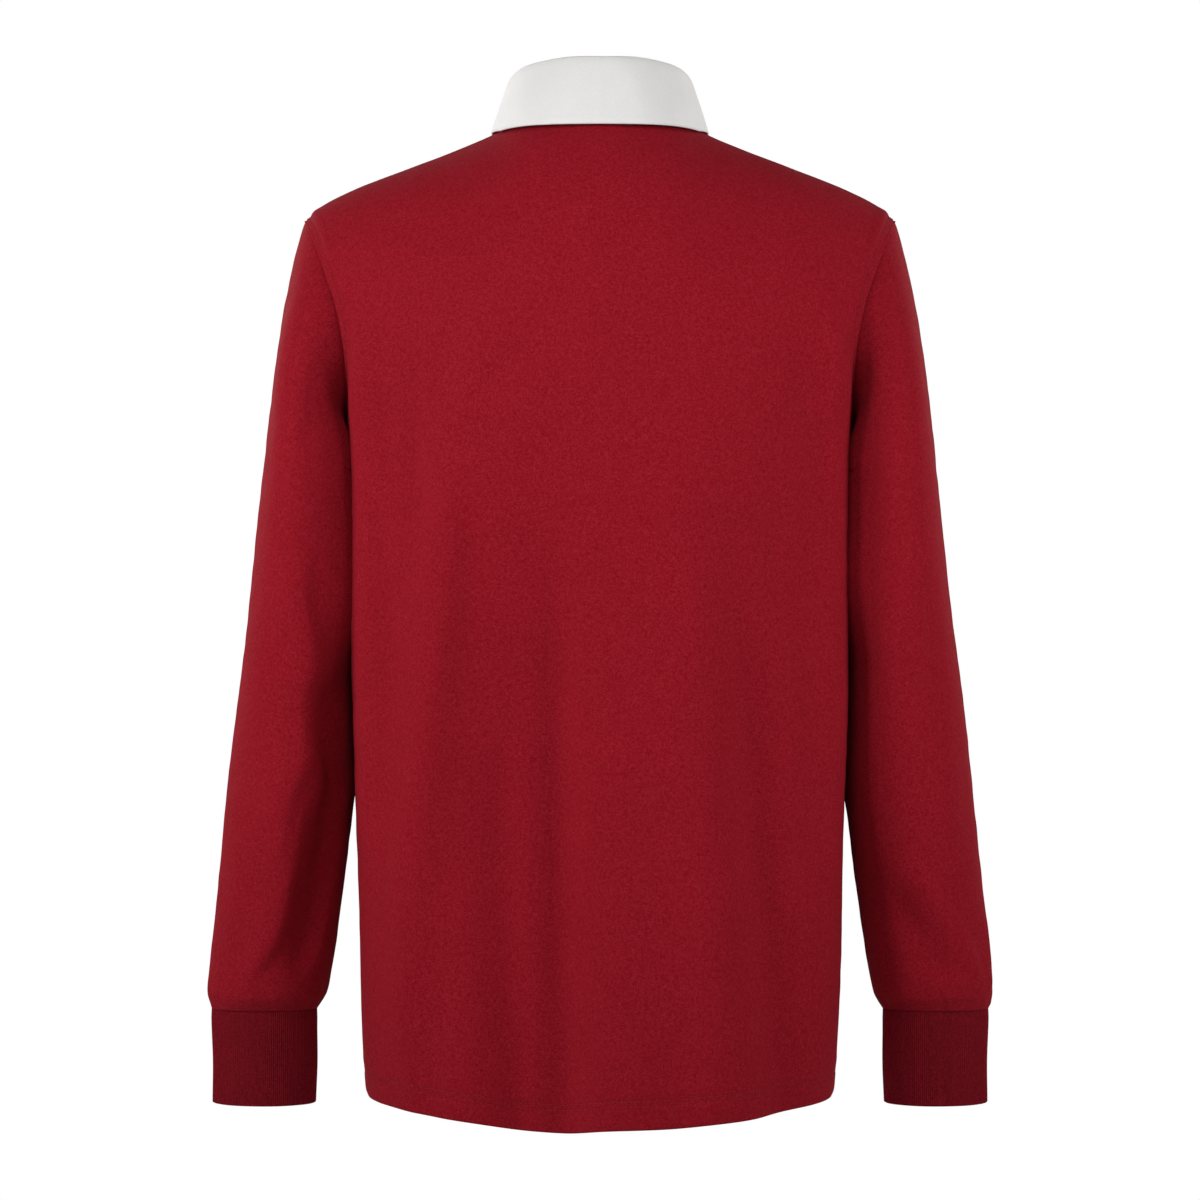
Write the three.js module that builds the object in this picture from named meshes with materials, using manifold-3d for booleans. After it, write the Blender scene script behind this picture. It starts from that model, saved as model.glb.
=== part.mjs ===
// A long-sleeved rugby shirt, filled out as if worn by nobody: a knitted body and sleeves,
// ribbed cuffs, and a white woven collar and button placket.
// Millimetres, +Z up. The front of the shirt faces -Y, and the wearer's left is +X.
// The origin is midway between the two neck points, where the shirt hangs from its wearer.

import * as THREE from "three";
import Module from "manifold-3d";

// Driving sizes
const GAP = 0.3; // between pieces at a seam
const CLOTH = 1.4; // wall of the knitted body and sleeves
const COLLAR_CLOTH = 1.8; // two plies of woven cotton
const BAND_CLOTH = 1.2; // each band of the placket
const CUFF_CLOTH = 2.2; // doubled rib

const UNDERARM = -226; // height of the underarm point
const SHOULDER_TIP = { x: 218, z: -62.5 };
const NECK_HALF_WIDTH = 68; // at the neck points
const NECK_POINT_HEIGHT = 7;
const NAPE_HEIGHT = 10;
const FRONT_NECK_HEIGHT = -62;
const FRONT_NECK_POWER = 1.8; // how round the front neckline is
const NECK_RISE = 27; // how far the form inside the neck rises over the neck points
const HEM_SIDE = -706.5;
const HEM_BACK_DROP = 12; // the tail hangs this much below the sides
const HEM_FRONT_DROP = 6;
const HEM_CURVE = 1.3; // how soon the hem drops from the sides
const SECTION_POWER = 2.4; // how square the body's sections are, 2 being an ellipse
const SECTION_HEIGHT = -343; // the section that spaces the columns of a panel
const BACK_ROUNDING = 150; // drop over which the cloth turns from the shoulder to the back
const FRONT_ROUNDING = 130;
const SEAM_REACH = 2; // a border point this near the middle plane lies on a seam

// How finely the walls are cut
const ARMHOLE_ROWS = 13;
const SIDE_ROWS = 12;
const SHOULDER_COLUMNS = 8;
const NECK_COLUMNS = 12;

// The shoulder line seen from the front, from the neck point to the sleeve
const SHOULDER_LINE = [
  { x: 68, z: 7 },
  { x: 79, z: 0.8 },
  { x: 104, z: -9.8 },
  { x: 142, z: -24.6 },
  { x: 181, z: -39.6 },
  { x: 204, z: -51 },
  { x: 218, z: -62.5 },
];

// The body's half width, and how far its back and front stand from the middle, by height
const BODY = [
  { z: -720, side: 168, back: 112, front: 116 },
  { z: -700, side: 172.8, back: 112.5, front: 117 },
  { z: -640, side: 176, back: 113, front: 118.5 },
  { z: -565, side: 177.2, back: 112, front: 120 },
  { z: -491, side: 177.4, back: 111, front: 121.5 },
  { z: -417, side: 179, back: 111.5, front: 124 },
  { z: -343, side: 181, back: 113.5, front: 127 },
  { z: -269, side: 182.8, back: 116.5, front: 129.5 },
  { z: -226, side: 185.5, back: 118, front: 129 },
  { z: -196, side: 193, back: 118.4, front: 127 },
  { z: -160, side: 206, back: 118, front: 123 },
  { z: -110, side: 224, back: 115, front: 112 },
  { z: -62, side: 240, back: 110, front: 93 },
  { z: 0, side: 261, back: 104, front: 88 },
  { z: 40, side: 275, back: 97, front: 84 },
];

// The armhole seam seen from the back and from the front: half width by height
const ARMHOLE_BACK = [
  { z: -226, x: 185.5 },
  { z: -212, x: 184.6 },
  { z: -190, x: 183.6 },
  { z: -165, x: 184.6 },
  { z: -145, x: 187.5 },
  { z: -128, x: 191.5 },
  { z: -113, x: 196.5 },
  { z: -98, x: 202 },
  { z: -82, x: 208.5 },
  { z: -68, x: 215 },
  { z: -62.5, x: 218 },
];
const ARMHOLE_FRONT = [
  { z: -226, x: 185.5 },
  { z: -212, x: 182.8 },
  { z: -190, x: 180.4 },
  { z: -160, x: 180.6 },
  { z: -128, x: 185.5 },
  { z: -98, x: 196 },
  { z: -78, x: 207 },
  { z: -62.5, x: 218 },
];

// Long soft folds of the body: where each crest or trough runs, how wide it is, and how far
// it stands out (or in, where negative) at the hem. They fade out towards the shoulder.
const BACK_FOLDS = [
  { xTop: 96, xHem: 112, width: 52, height: 6.5, start: -110 },
  { xTop: 30, xHem: 18, width: 48, height: -6, start: -130 },
  { xTop: -78, xHem: -92, width: 50, height: 6, start: -110 },
  { xTop: -128, xHem: -150, width: 26, height: -4, start: -300 },
];
const FRONT_FOLDS = [
  { xTop: 84, xHem: 96, width: 48, height: 6, start: -190 },
  { xTop: 8, xHem: -6, width: 50, height: -5.5, start: -250 },
  { xTop: -92, xHem: -104, width: 46, height: 5.5, start: -190 },
  { xTop: 136, xHem: 146, width: 26, height: -3.5, start: -320 },
];
const FOLD_TOP_WIDTH = 0.7; // a fold's width where it starts, as a share of its width at the hem
const FOLD_SIDE_POWER = 6; // how suddenly the folds die out at the sides

// The hanging sleeve below the armhole: its outer and inner edge, half depth, middle and
// how sharp its front and back folds are, by height
const SLEEVE = [
  { z: -646.5, out: 289.6, inner: 210.4, depth: 26, middle: -20, power: 2 },
  { z: -642, out: 291.2, inner: 207.4, depth: 30, middle: -20, power: 2 },
  { z: -635, out: 292.3, inner: 203.8, depth: 34.5, middle: -19, power: 1.95 },
  { z: -610, out: 290, inner: 198.6, depth: 39, middle: -17, power: 1.85 },
  { z: -565, out: 285.4, inner: 192, depth: 45, middle: -13, power: 1.75 },
  { z: -520, out: 280.6, inner: 185.8, depth: 50, middle: -8, power: 1.7 },
  { z: -470, out: 275, inner: 180.8, depth: 55, middle: -3, power: 1.75 },
  { z: -420, out: 268.4, inner: 181.4, depth: 59, middle: 1, power: 1.85 },
  { z: -360, out: 260.4, inner: 182.8, depth: 64, middle: 4, power: 2 },
  { z: -300, out: 253.2, inner: 184.6, depth: 69, middle: 5, power: 2.1 },
  { z: -248, out: 247.4, inner: 187.2, depth: 73, middle: 4, power: 2.2 },
];
// Heights of the sleeve's rings below its head
const SLEEVE_RINGS = [
  -248, -274, -302, -335, -370, -405, -440, -475, -510, -545, -580, -606, -624, -635, -642, -646.5,
];
const SLEEVE_WIDTH_POWER = 2.2; // how square the sleeve's outer and inner edges are

// The sleeve's head: rings that fan out from the armhole down to the first level. They leave
// the armhole outwards and down, and more outwards at its front and back.
const SLEEVE_HEAD = { rings: 8, out: 0.27, outAtSides: 0.5, across: 0.25, down: 0.95, lift: 0.35 };
const UNDERARM_SHARE = 0.9; // the part of the armhole, by cosine, that leaves straight down
const SLEEVE_ARRIVAL = 0.08; // outward lean of the sleeve where its head ends

// Soft folds of the sleeve, at the elbow and above the cuff: their height and their angle round
// the sleeve (0 outer edge, a quarter turn the back), how far they wind, their size and rise
const SLEEVE_FOLDS = [
  { z: -455, angle: 2.05, wind: -0.4, length: 115, width: 0.42, rise: -3.4 },
  { z: -350, angle: 1.25, wind: 0.3, length: 105, width: 0.4, rise: 2.6 },
  { z: -560, angle: 1.15, wind: 0.35, length: 75, width: 0.38, rise: 2.4 },
  { z: -425, angle: 4.35, wind: 0.4, length: 110, width: 0.4, rise: -3 },
  { z: -535, angle: 5, wind: -0.3, length: 85, width: 0.38, rise: 2.4 },
];

// The cuff, an oval tube of fine rib
const CUFF = {
  top: -646.8,
  bottom: -717,
  middleX: 250,
  middleY: -20,
  halfWidthTop: 39.6,
  halfWidthBottom: 38.6,
  halfDepthTop: 26,
  halfDepthBottom: 25,
  ribs: 96,
  ribHeight: 0.5,
  levels: 2,
  inner: 48,
};

// The collar by place, from the nape (0) to the middle of the front (1): height of the stand,
// how far it leans in, and where the outer edge of the leaf lies
const COLLAR = [
  { place: 0, stand: 40.9, lean: 5, x: 0, y: 71, z: 0.5 },
  { place: 0.12, stand: 41, lean: 4.6, x: 27, y: 68.5, z: 0.5 },
  { place: 0.24, stand: 40.2, lean: 3.6, x: 54.5, y: 54, z: 1 },
  { place: 0.34, stand: 38.6, lean: 3, x: 72, y: 29, z: 1 },
  { place: 0.43, stand: 36, lean: 3, x: 79, y: 1, z: 1 },
  { place: 0.52, stand: 34.2, lean: 3.5, x: 79, y: -28, z: -3 },
  { place: 0.64, stand: 33, lean: 4.5, x: 76, y: -60, z: -25 },
  { place: 0.76, stand: 32, lean: 5.5, x: 69.5, y: -86, z: -56 },
  { place: 0.88, stand: 31, lean: 7, x: 58, y: -103, z: -80 },
  { place: 1, stand: 30, lean: 8, x: 42, y: -109, z: -92 },
];
const FOLD_RADIUS = 2; // of the roll at the top of the collar, to the middle of the cloth
const LEAF_CLEARANCE = 1.9; // from the body's form to the middle of the leaf
const LEAF_BOW = 0.8; // how far the leaf bellies out
const LEAF_BOW_PLACE = 0.55; // where it does so, from the fold to the leaf's edge
const STAND_START = 2.5; // how far the stand runs straight on from its seam
const STAND_HOLLOW = 0.8; // how far the stand curves in halfway up
const FOLD_LINE = 4; // which of the lines along the collar is the top of its fold
const SEAM_EASE = 0.4; // more room at the curved neck seam
const COLLAR_PARTING = 0.6; // from the middle to each end of the collar

// The placket at the middle of the front
const PLACKET = {
  halfWidth: 16.5,
  slitHalfWidth: 14.5,
  topEase: 0.6, // below the neckline
  bottom: -214,
  slitBottom: -210,
  overLift: 0.5, // from the panel to the outer band
  columns: 4,
  rows: 14,
};
const BUTTON = {
  radius: 6.6,
  rim: 1.5,
  thickness: 3,
  dish: 0.8,
  bevel: 0.8,
  backBevelHeight: 0.9,
  segments: 20,
  holeRadius: 0.9,
  holeSpacing: 1.7,
  holeSides: 6,
  heights: [-84, -130, -176],
};

// A rough way out of the body, that tells a normal's outer side: sideways by a share of the
// distance from the middle, backwards or forwards, and upwards over this height
const WAY_OUT = { sideways: 0.6, depth: 100, upFrom: -150 };

const wasm = await Module();
wasm.setup();

// The value of one column of a table at a key, along a smooth curve that never overshoots
function tableAt(table, keyName, key, column) {
  const rows = [...table].sort((a, b) => a[keyName] - b[keyName]);
  const last = rows.length - 1;
  if (key <= rows[0][keyName]) return rows[0][column];
  if (key >= rows[last][keyName]) return rows[last][column];
  const k = rows.findIndex((row) => row[keyName] > key) - 1;
  const secant = (i) =>
    (rows[i + 1][column] - rows[i][column]) /
    (rows[i + 1][keyName] - rows[i][keyName]);
  const slope = (i) => {
    if (i === 0) return secant(0);
    if (i === last) return secant(last - 1);
    const [before, after] = [secant(i - 1), secant(i)];
    return before * after <= 0 ? 0 : (2 * before * after) / (before + after);
  };
  const span = rows[k + 1][keyName] - rows[k][keyName];
  const t = (key - rows[k][keyName]) / span;
  const t2 = t * t;
  const t3 = t2 * t;
  return (
    rows[k][column] * (2 * t3 - 3 * t2 + 1) +
    rows[k + 1][column] * (3 * t2 - 2 * t3) +
    slope(k) * span * (t3 - 2 * t2 + t) +
    slope(k + 1) * span * (t3 - t2)
  );
}

// Numbers from 0 to 1 that cut a curve into pieces of even length
function evenSteps(curve, pieces, samples = 600) {
  const lengths = [0];
  let before = curve(0);
  for (let i = 1; i <= samples; i++) {
    const here = curve(i / samples);
    lengths.push(lengths[i - 1] + here.distanceTo(before));
    before = here;
  }
  const steps = [];
  let i = 0;
  for (let piece = 0; piece <= pieces; piece++) {
    const wanted = (lengths[samples] * piece) / pieces;
    while (i < samples - 1 && lengths[i + 1] < wanted) i++;
    const share = (wanted - lengths[i]) / (lengths[i + 1] - lengths[i]);
    steps.push((i + Math.min(share, 1)) / samples);
  }
  return steps;
}

// Height of the top of the form at a distance from the middle: the shoulder line, and
// a low dome inside the neck that only shapes the cloth around it
function ridgeHeight(x) {
  const r = Math.abs(x) / NECK_HALF_WIDTH;
  if (r < 1) return NECK_POINT_HEIGHT + NECK_RISE * (1 - r * r);
  return tableAt(SHOULDER_LINE, "x", Math.abs(x), "z");
}

// The half width of the form at a height
function sideAt(z) {
  return tableAt(BODY, "z", z, "side");
}

// How far the folds push the cloth out at a place
function foldHeight(folds, x, z) {
  let sum = 0;
  for (const fold of folds) {
    const down = THREE.MathUtils.clamp((fold.start - z) / (fold.start - HEM_SIDE), 0, 1);
    const line = THREE.MathUtils.lerp(fold.xTop, fold.xHem, down);
    const width = fold.width * THREE.MathUtils.lerp(FOLD_TOP_WIDTH, 1, down);
    const away = (x - line) / width;
    sum += fold.height * Math.sin((down * Math.PI) / 2) * Math.exp(-away * away);
  }
  return sum;
}

// How far the cloth would stand from the middle plane if it didn't turn in at the shoulder
function fullDepth(isBack, x, z) {
  const out = Math.min(Math.abs(x) / sideAt(z), 1);
  const across = (1 - out ** SECTION_POWER) ** (1 / SECTION_POWER);
  const flat = tableAt(BODY, "z", z, isBack ? "back" : "front") * across;
  const folds = isBack ? BACK_FOLDS : FRONT_FOLDS;
  return flat + foldHeight(folds, x, z) * (1 - out ** FOLD_SIDE_POWER);
}

// How near the top of the form a height is: 1 on the shoulder line, 0 where the turn ends
function nearTop(isBack, x, z) {
  const rounding = isBack ? BACK_ROUNDING : FRONT_ROUNDING;
  return Math.max(1 - (ridgeHeight(x) - z) / rounding, 0);
}

// The body form: how far the cloth stands from the middle plane, with + for the back
function bodyDepth(isBack, x, z) {
  const top = Math.sqrt(1 - Math.min(nearTop(isBack, x, z), 1) ** 2);
  const depth = fullDepth(isBack, x, z) * top;
  return isBack ? depth : -depth;
}

// 1 on the form, less inside it and more outside
function formLevel(point) {
  const isBack = point.y > 0;
  const across = Math.abs(point.y) / fullDepth(isBack, point.x, point.z);
  return Math.hypot(across, nearTop(isBack, point.x, point.z));
}

// The slope of formLevel, which points straight out of the form
function formSlope(point, step = 0.4) {
  const slope = (axis) => {
    const high = point.clone().addScaledVector(axis, step);
    const low = point.clone().addScaledVector(axis, -step);
    return (formLevel(high) - formLevel(low)) / (2 * step);
  };
  const [x, y, z] = [
    new THREE.Vector3(1, 0, 0),
    new THREE.Vector3(0, 1, 0),
    new THREE.Vector3(0, 0, 1),
  ].map(slope);
  return new THREE.Vector3(x, y, z);
}

// Moves a point straight out until it stands this far off the form
function clearOfForm(point, distance) {
  const moved = point.clone();
  for (let pass = 0; pass < 4; pass++) {
    const slope = formSlope(moved);
    const away = (formLevel(moved) - 1) / slope.length();
    if (away >= distance) return moved;
    moved.addScaledVector(slope.normalize(), distance - away);
  }
  return moved;
}

// The neckline: height by distance from the middle
function necklineHeight(isBack, x) {
  const r = Math.min(Math.abs(x) / NECK_HALF_WIDTH, 1);
  if (isBack) return NAPE_HEIGHT + (NECK_POINT_HEIGHT - NAPE_HEIGHT) * r * r;
  const rise = NECK_POINT_HEIGHT - FRONT_NECK_HEIGHT;
  return FRONT_NECK_HEIGHT + rise * r ** FRONT_NECK_POWER;
}

// A point of the neckline; turn runs from 0 at the middle to 1 at the neck point
function neckPoint(isBack, turn) {
  const x = NECK_HALF_WIDTH * Math.sin((turn * Math.PI) / 2);
  const z = necklineHeight(isBack, x);
  return new THREE.Vector3(x, bodyDepth(isBack, x, z), z);
}

// A point of the armhole seam; turn runs from 0 at the shoulder to 1 at the underarm
function armholePoint(isBack, turn) {
  const share = (1 - Math.cos(turn * Math.PI)) / 2;
  const z = THREE.MathUtils.lerp(SHOULDER_TIP.z, UNDERARM, share);
  const x = tableAt(isBack ? ARMHOLE_BACK : ARMHOLE_FRONT, "z", z, "x");
  return new THREE.Vector3(x, bodyDepth(isBack, x, z), z);
}

// Unit normals of a grid of points, on the side that the hint names
function gridNormals(grid, hint, closed = false) {
  const rows = grid.length;
  const columns = grid[0].length;
  return grid.map((row, i) =>
    row.map((point, j) => {
      const left = closed ? row[(j - 1 + columns) % columns] : row[Math.max(j - 1, 0)];
      const right = closed ? row[(j + 1) % columns] : row[Math.min(j + 1, columns - 1)];
      const up = grid[Math.max(i - 1, 0)][j];
      const down = grid[Math.min(i + 1, rows - 1)][j];
      const across = right.clone().sub(left);
      const normal = across.cross(down.clone().sub(up)).normalize();
      return normal.dot(hint(point, i, j)) < 0 ? normal.negate() : normal;
    }),
  );
}

function offsetGrid(grid, normals, distance) {
  return grid.map((row, i) =>
    row.map((point, j) => point.clone().addScaledVector(normals[i][j], distance)),
  );
}

// Turns a geometry's faces round if they point inwards
function facingOut(positions, triangles) {
  let volume = 0;
  const corner = (k) =>
    new THREE.Vector3(positions[3 * k], positions[3 * k + 1], positions[3 * k + 2]);
  for (let t = 0; t < triangles.length; t += 3) {
    const [a, b, c] = [0, 1, 2].map((n) => corner(triangles[t + n]));
    volume += a.dot(b.cross(c)) / 6;
  }
  if (volume < 0) triangles.reverse();
  const geometry = new THREE.BufferGeometry();
  geometry.setAttribute("position", new THREE.Float32BufferAttribute(positions, 3));
  geometry.setIndex(triangles);
  geometry.computeVertexNormals();
  return geometry;
}

// A closed wall between two grids of the same size, open at its borders or joined round
function wallGeometry(outer, inner, closed = false) {
  const rows = outer.length;
  const columns = outer[0].length;
  const positions = [];
  for (const grid of [outer, inner])
    for (const row of grid) for (const point of row) positions.push(...point.toArray());
  const inside = rows * columns;
  const at = (i, j) => i * columns + (j % columns);
  const triangles = [];
  const face = (a, b, c, d) => triangles.push(a, b, c, a, c, d);
  const steps = closed ? columns : columns - 1;
  for (let j = 0; j < steps; j++) {
    for (let i = 0; i < rows - 1; i++) {
      const [a, b, c, d] = [at(i, j), at(i + 1, j), at(i + 1, j + 1), at(i, j + 1)];
      face(a, b, c, d);
      face(inside + d, inside + c, inside + b, inside + a);
    }
    const last = rows - 1;
    face(at(0, j + 1), inside + at(0, j + 1), inside + at(0, j), at(0, j));
    face(at(last, j), inside + at(last, j), inside + at(last, j + 1), at(last, j + 1));
  }
  if (!closed) {
    const edge = columns - 1;
    for (let i = 0; i < rows - 1; i++) {
      face(at(i, 0), inside + at(i, 0), inside + at(i + 1, 0), at(i + 1, 0));
      face(at(i + 1, edge), inside + at(i + 1, edge), inside + at(i, edge), at(i, edge));
    }
  }
  return facingOut(positions, triangles);
}

// Body panels

// Where each column of a body panel lies below the underarm, as shares of the half width
function columnShares(isBack) {
  const count = 2 * SHOULDER_COLUMNS + NECK_COLUMNS;
  const { back, front, side } = BODY.find((row) => row.z === SECTION_HEIGHT);
  const depth = isBack ? back : front;
  const section = (t) => {
    const angle = (t - 0.5) * Math.PI;
    const power = 2 / SECTION_POWER;
    const x = Math.sign(angle) * side * Math.abs(Math.sin(angle)) ** power;
    return new THREE.Vector3(x, depth * Math.max(Math.cos(angle), 0) ** power, 0);
  };
  return evenSteps(section, count).map((t) => section(t).x / side);
}

// The neckline of half a panel, from the middle to the neck point
function halfNeckline(isBack) {
  const steps = evenSteps((t) => neckPoint(isBack, t), NECK_COLUMNS / 2);
  return steps.map((t) => neckPoint(isBack, t));
}

// The top edge of a body panel: shoulder seam, neckline and shoulder seam
function panelTop(isBack) {
  const shoulder = (t) => {
    const x = THREE.MathUtils.lerp(NECK_HALF_WIDTH, SHOULDER_TIP.x, t);
    return new THREE.Vector3(x, 0, ridgeHeight(x));
  };
  const shoulderSteps = evenSteps(shoulder, SHOULDER_COLUMNS).slice(1);
  const half = [...halfNeckline(isBack), ...shoulderSteps.map((t) => shoulder(t))];
  const mirrored = half.slice(1).map((p) => new THREE.Vector3(-p.x, p.y, p.z));
  return [...mirrored.reverse(), ...half];
}

function hemHeight(isBack, share) {
  const drop = isBack ? HEM_BACK_DROP : HEM_FRONT_DROP;
  return HEM_SIDE - drop * (1 - share * share) ** HEM_CURVE;
}

// The outer points of a body panel, and its normals, with seam edges squared off
function panelSurface(isBack) {
  const top = panelTop(isBack);
  const shares = columnShares(isBack);
  const steps = evenSteps((t) => armholePoint(isBack, t), ARMHOLE_ROWS);
  const grid = steps.map((t, i) => {
    const edge = armholePoint(isBack, t);
    const down = (SHOULDER_TIP.z - edge.z) / (SHOULDER_TIP.z - UNDERARM);
    const spread = THREE.MathUtils.smoothstep(down, 0, 1);
    return top.map((start, j) => {
      if (i === 0) return start.clone();
      const share = THREE.MathUtils.lerp(start.x / SHOULDER_TIP.x, shares[j], spread);
      const x = edge.x * share;
      const z = THREE.MathUtils.lerp(start.z, UNDERARM, down);
      return new THREE.Vector3(x, bodyDepth(isBack, x, z), z);
    });
  });
  for (let i = 1; i <= SIDE_ROWS; i++) {
    grid.push(
      shares.map((share) => {
        const z = THREE.MathUtils.lerp(UNDERARM, hemHeight(isBack, share), i / SIDE_ROWS);
        const x = sideAt(z) * share;
        return new THREE.Vector3(x, bodyDepth(isBack, x, z), z);
      }),
    );
  }
  const { sideways, depth, upFrom } = WAY_OUT;
  const outward = ({ x, z }) =>
    new THREE.Vector3(x * sideways, isBack ? depth : -depth, Math.max(z - upFrom, 0));
  const normals = gridNormals(grid, outward);
  const lastColumn = top.length - 1;
  const seamNormal = (i, j) => normals[i][j].setY(0).normalize();
  for (let i = ARMHOLE_ROWS; i < grid.length; i++) {
    seamNormal(i, 0);
    seamNormal(i, lastColumn);
  }
  for (let j = 0; j <= SHOULDER_COLUMNS; j++) {
    seamNormal(0, j);
    seamNormal(0, lastColumn - j);
  }
  return { grid, normals };
}

const BACK = panelSurface(true);
const FRONT = panelSurface(false);

// Moves a panel's points apart from the other panel's at the shoulder and side seams
function parted(grid, isBack) {
  const apart = ((isBack ? 1 : -1) * GAP) / 2;
  return grid.map((row, i) =>
    row.map((point, j) => {
      const near = Math.abs(point.y) < SEAM_REACH;
      const border = i === 0 || j === 0 || j === row.length - 1;
      return near && border ? point.clone().setY(point.y + apart) : point.clone();
    }),
  );
}

function panelGeometry({ grid, normals }, isBack) {
  const outer = parted(grid, isBack);
  const inner = offsetGrid(grid, normals, -CLOTH);
  const apart = ((isBack ? 1 : -1) * GAP) / 2;
  for (const [i, row] of inner.entries())
    for (const [j, point] of row.entries())
      if (outer[i][j].y !== grid[i][j].y) point.y += apart;
  return wallGeometry(outer, inner);
}

// Booleans

function solidOf(geometry) {
  return new wasm.Manifold(
    new wasm.Mesh({
      numProp: 3,
      vertProperties: new Float32Array(geometry.getAttribute("position").array),
      triVerts: new Uint32Array(geometry.getIndex().array),
    }),
  );
}

function geometryOf(solid) {
  const mesh = solid.getMesh();
  const geometry = new THREE.BufferGeometry();
  geometry.setAttribute(
    "position",
    new THREE.Float32BufferAttribute(Array.from(mesh.vertProperties), 3),
  );
  geometry.setIndex(Array.from(mesh.triVerts));
  geometry.computeVertexNormals();
  return geometry;
}

// A box with its shared corners merged, as a solid
function boxSolid(low, high) {
  const at = (x, y, z) => [x ? high.x : low.x, y ? high.y : low.y, z ? high.z : low.z];
  const grid = (z) => [
    [at(0, 0, z), at(1, 0, z)],
    [at(0, 1, z), at(1, 1, z)],
  ];
  const points = (rows) => rows.map((row) => row.map((p) => new THREE.Vector3(...p)));
  return solidOf(wallGeometry(points(grid(0)), points(grid(1))));
}

// The front panel, with the slit that the placket fills
function frontGeometry() {
  const whole = solidOf(panelGeometry(FRONT, false));
  const half = PLACKET.slitHalfWidth + GAP;
  const slit = boxSolid(
    new THREE.Vector3(-half, 2 * bodyDepth(false, 0, UNDERARM), PLACKET.slitBottom),
    new THREE.Vector3(half, 0.5 * neckPoint(false, 0).y, NECK_POINT_HEIGHT),
  );
  return geometryOf(whole.subtract(slit));
}

// Sleeves

// A point of the hanging sleeve; angle 0 is its outer edge and a quarter turn its back
function sleevePoint(z, angle) {
  const row = (column) => tableAt(SLEEVE, "z", z, column);
  const power = 2 / row("power");
  const [c, s] = [Math.cos(angle), Math.sin(angle)];
  const halfWidth = (row("out") - row("inner")) / 2;
  const middle = (row("out") + row("inner")) / 2;
  return new THREE.Vector3(
    middle + halfWidth * Math.sign(c) * Math.abs(c) ** (2 / SLEEVE_WIDTH_POWER),
    row("middle") + row("depth") * Math.sign(s) * Math.abs(s) ** power,
    z,
  ).add(sleeveFold(z, angle));
}

// How far the folds move a point of the sleeve
function sleeveFold(z, angle) {
  let sum = 0;
  for (const fold of SLEEVE_FOLDS) {
    const along = (z - fold.z) / fold.length;
    const away = (angle - fold.angle - fold.wind * along) / fold.width;
    sum += fold.rise * Math.exp(-along * along - away * away);
  }
  return new THREE.Vector3(sum * Math.cos(angle), sum * Math.sin(angle), 0);
}

// The seam points all round an armhole, from the shoulder by the back to the underarm,
// with the body's normal at each
function armholeRing() {
  const edgeOf = ({ grid, normals }) =>
    grid
      .slice(0, ARMHOLE_ROWS + 1)
      .map((row, i) => ({ point: row.at(-1), normal: normals[i].at(-1) }));
  const frontBetweenEnds = edgeOf(FRONT).slice(1, -1);
  return [...edgeOf(BACK), ...frontBetweenEnds.reverse()];
}

// The outer points of the left sleeve
function sleeveSurface() {
  const armhole = armholeRing();
  const count = armhole.length;
  const ringAt = (z) => armhole.map((_, k) => sleevePoint(z, (2 * Math.PI * k) / count));
  const rings = [];
  const target = ringAt(SLEEVE_RINGS[0]);
  const { out, outAtSides, across, down, lift } = SLEEVE_HEAD;
  for (let i = 0; i < SLEEVE_HEAD.rings; i++) {
    const t = i / SLEEVE_HEAD.rings;
    rings.push(
      armhole.map(({ point }, k) => {
        const start = point.clone().setX(point.x + GAP);
        const angle = (2 * Math.PI * k) / count;
        const reach = start.distanceTo(target[k]);
        const side = Math.sin(angle) ** 2;
        const leave = new THREE.Vector3(
          out + outAtSides * side,
          across * Math.sin(angle),
          -down + lift * side,
        ).multiplyScalar(reach);
        const arrive = new THREE.Vector3(SLEEVE_ARRIVAL, 0, -1).multiplyScalar(reach);
        if (Math.cos(angle) < -UNDERARM_SHARE) leave.set(0, 0, -reach);
        const t2 = t * t;
        const t3 = t2 * t;
        return start
          .multiplyScalar(2 * t3 - 3 * t2 + 1)
          .addScaledVector(target[k], 3 * t2 - 2 * t3)
          .addScaledVector(leave, t3 - 2 * t2 + t)
          .addScaledVector(arrive, t3 - t2);
      }),
    );
  }
  for (const z of SLEEVE_RINGS) rings.push(ringAt(z));
  return { rings, armhole };
}

function sleeveGeometry() {
  const { rings, armhole } = sleeveSurface();
  const centre = (i) =>
    rings[i]
      .reduce((sum, p) => sum.add(p), new THREE.Vector3())
      .divideScalar(rings[i].length);
  const outward = (point, i) => point.clone().sub(centre(i));
  const normals = gridNormals(rings, outward, true);
  armhole.forEach(({ normal }, k) => {
    if (normals[0][k].x > normal.x) normals[0][k].copy(normal);
  });
  return wallGeometry(rings, offsetGrid(rings, normals, -CLOTH), true);
}

// Mirrors a geometry made for the wearer's left into one for the right
function mirrored(geometry) {
  const positions = Array.from(geometry.getAttribute("position").array);
  for (let i = 0; i < positions.length; i += 3) positions[i] = -positions[i];
  return facingOut(positions, Array.from(geometry.getIndex().array).reverse());
}

// Cuffs

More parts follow.
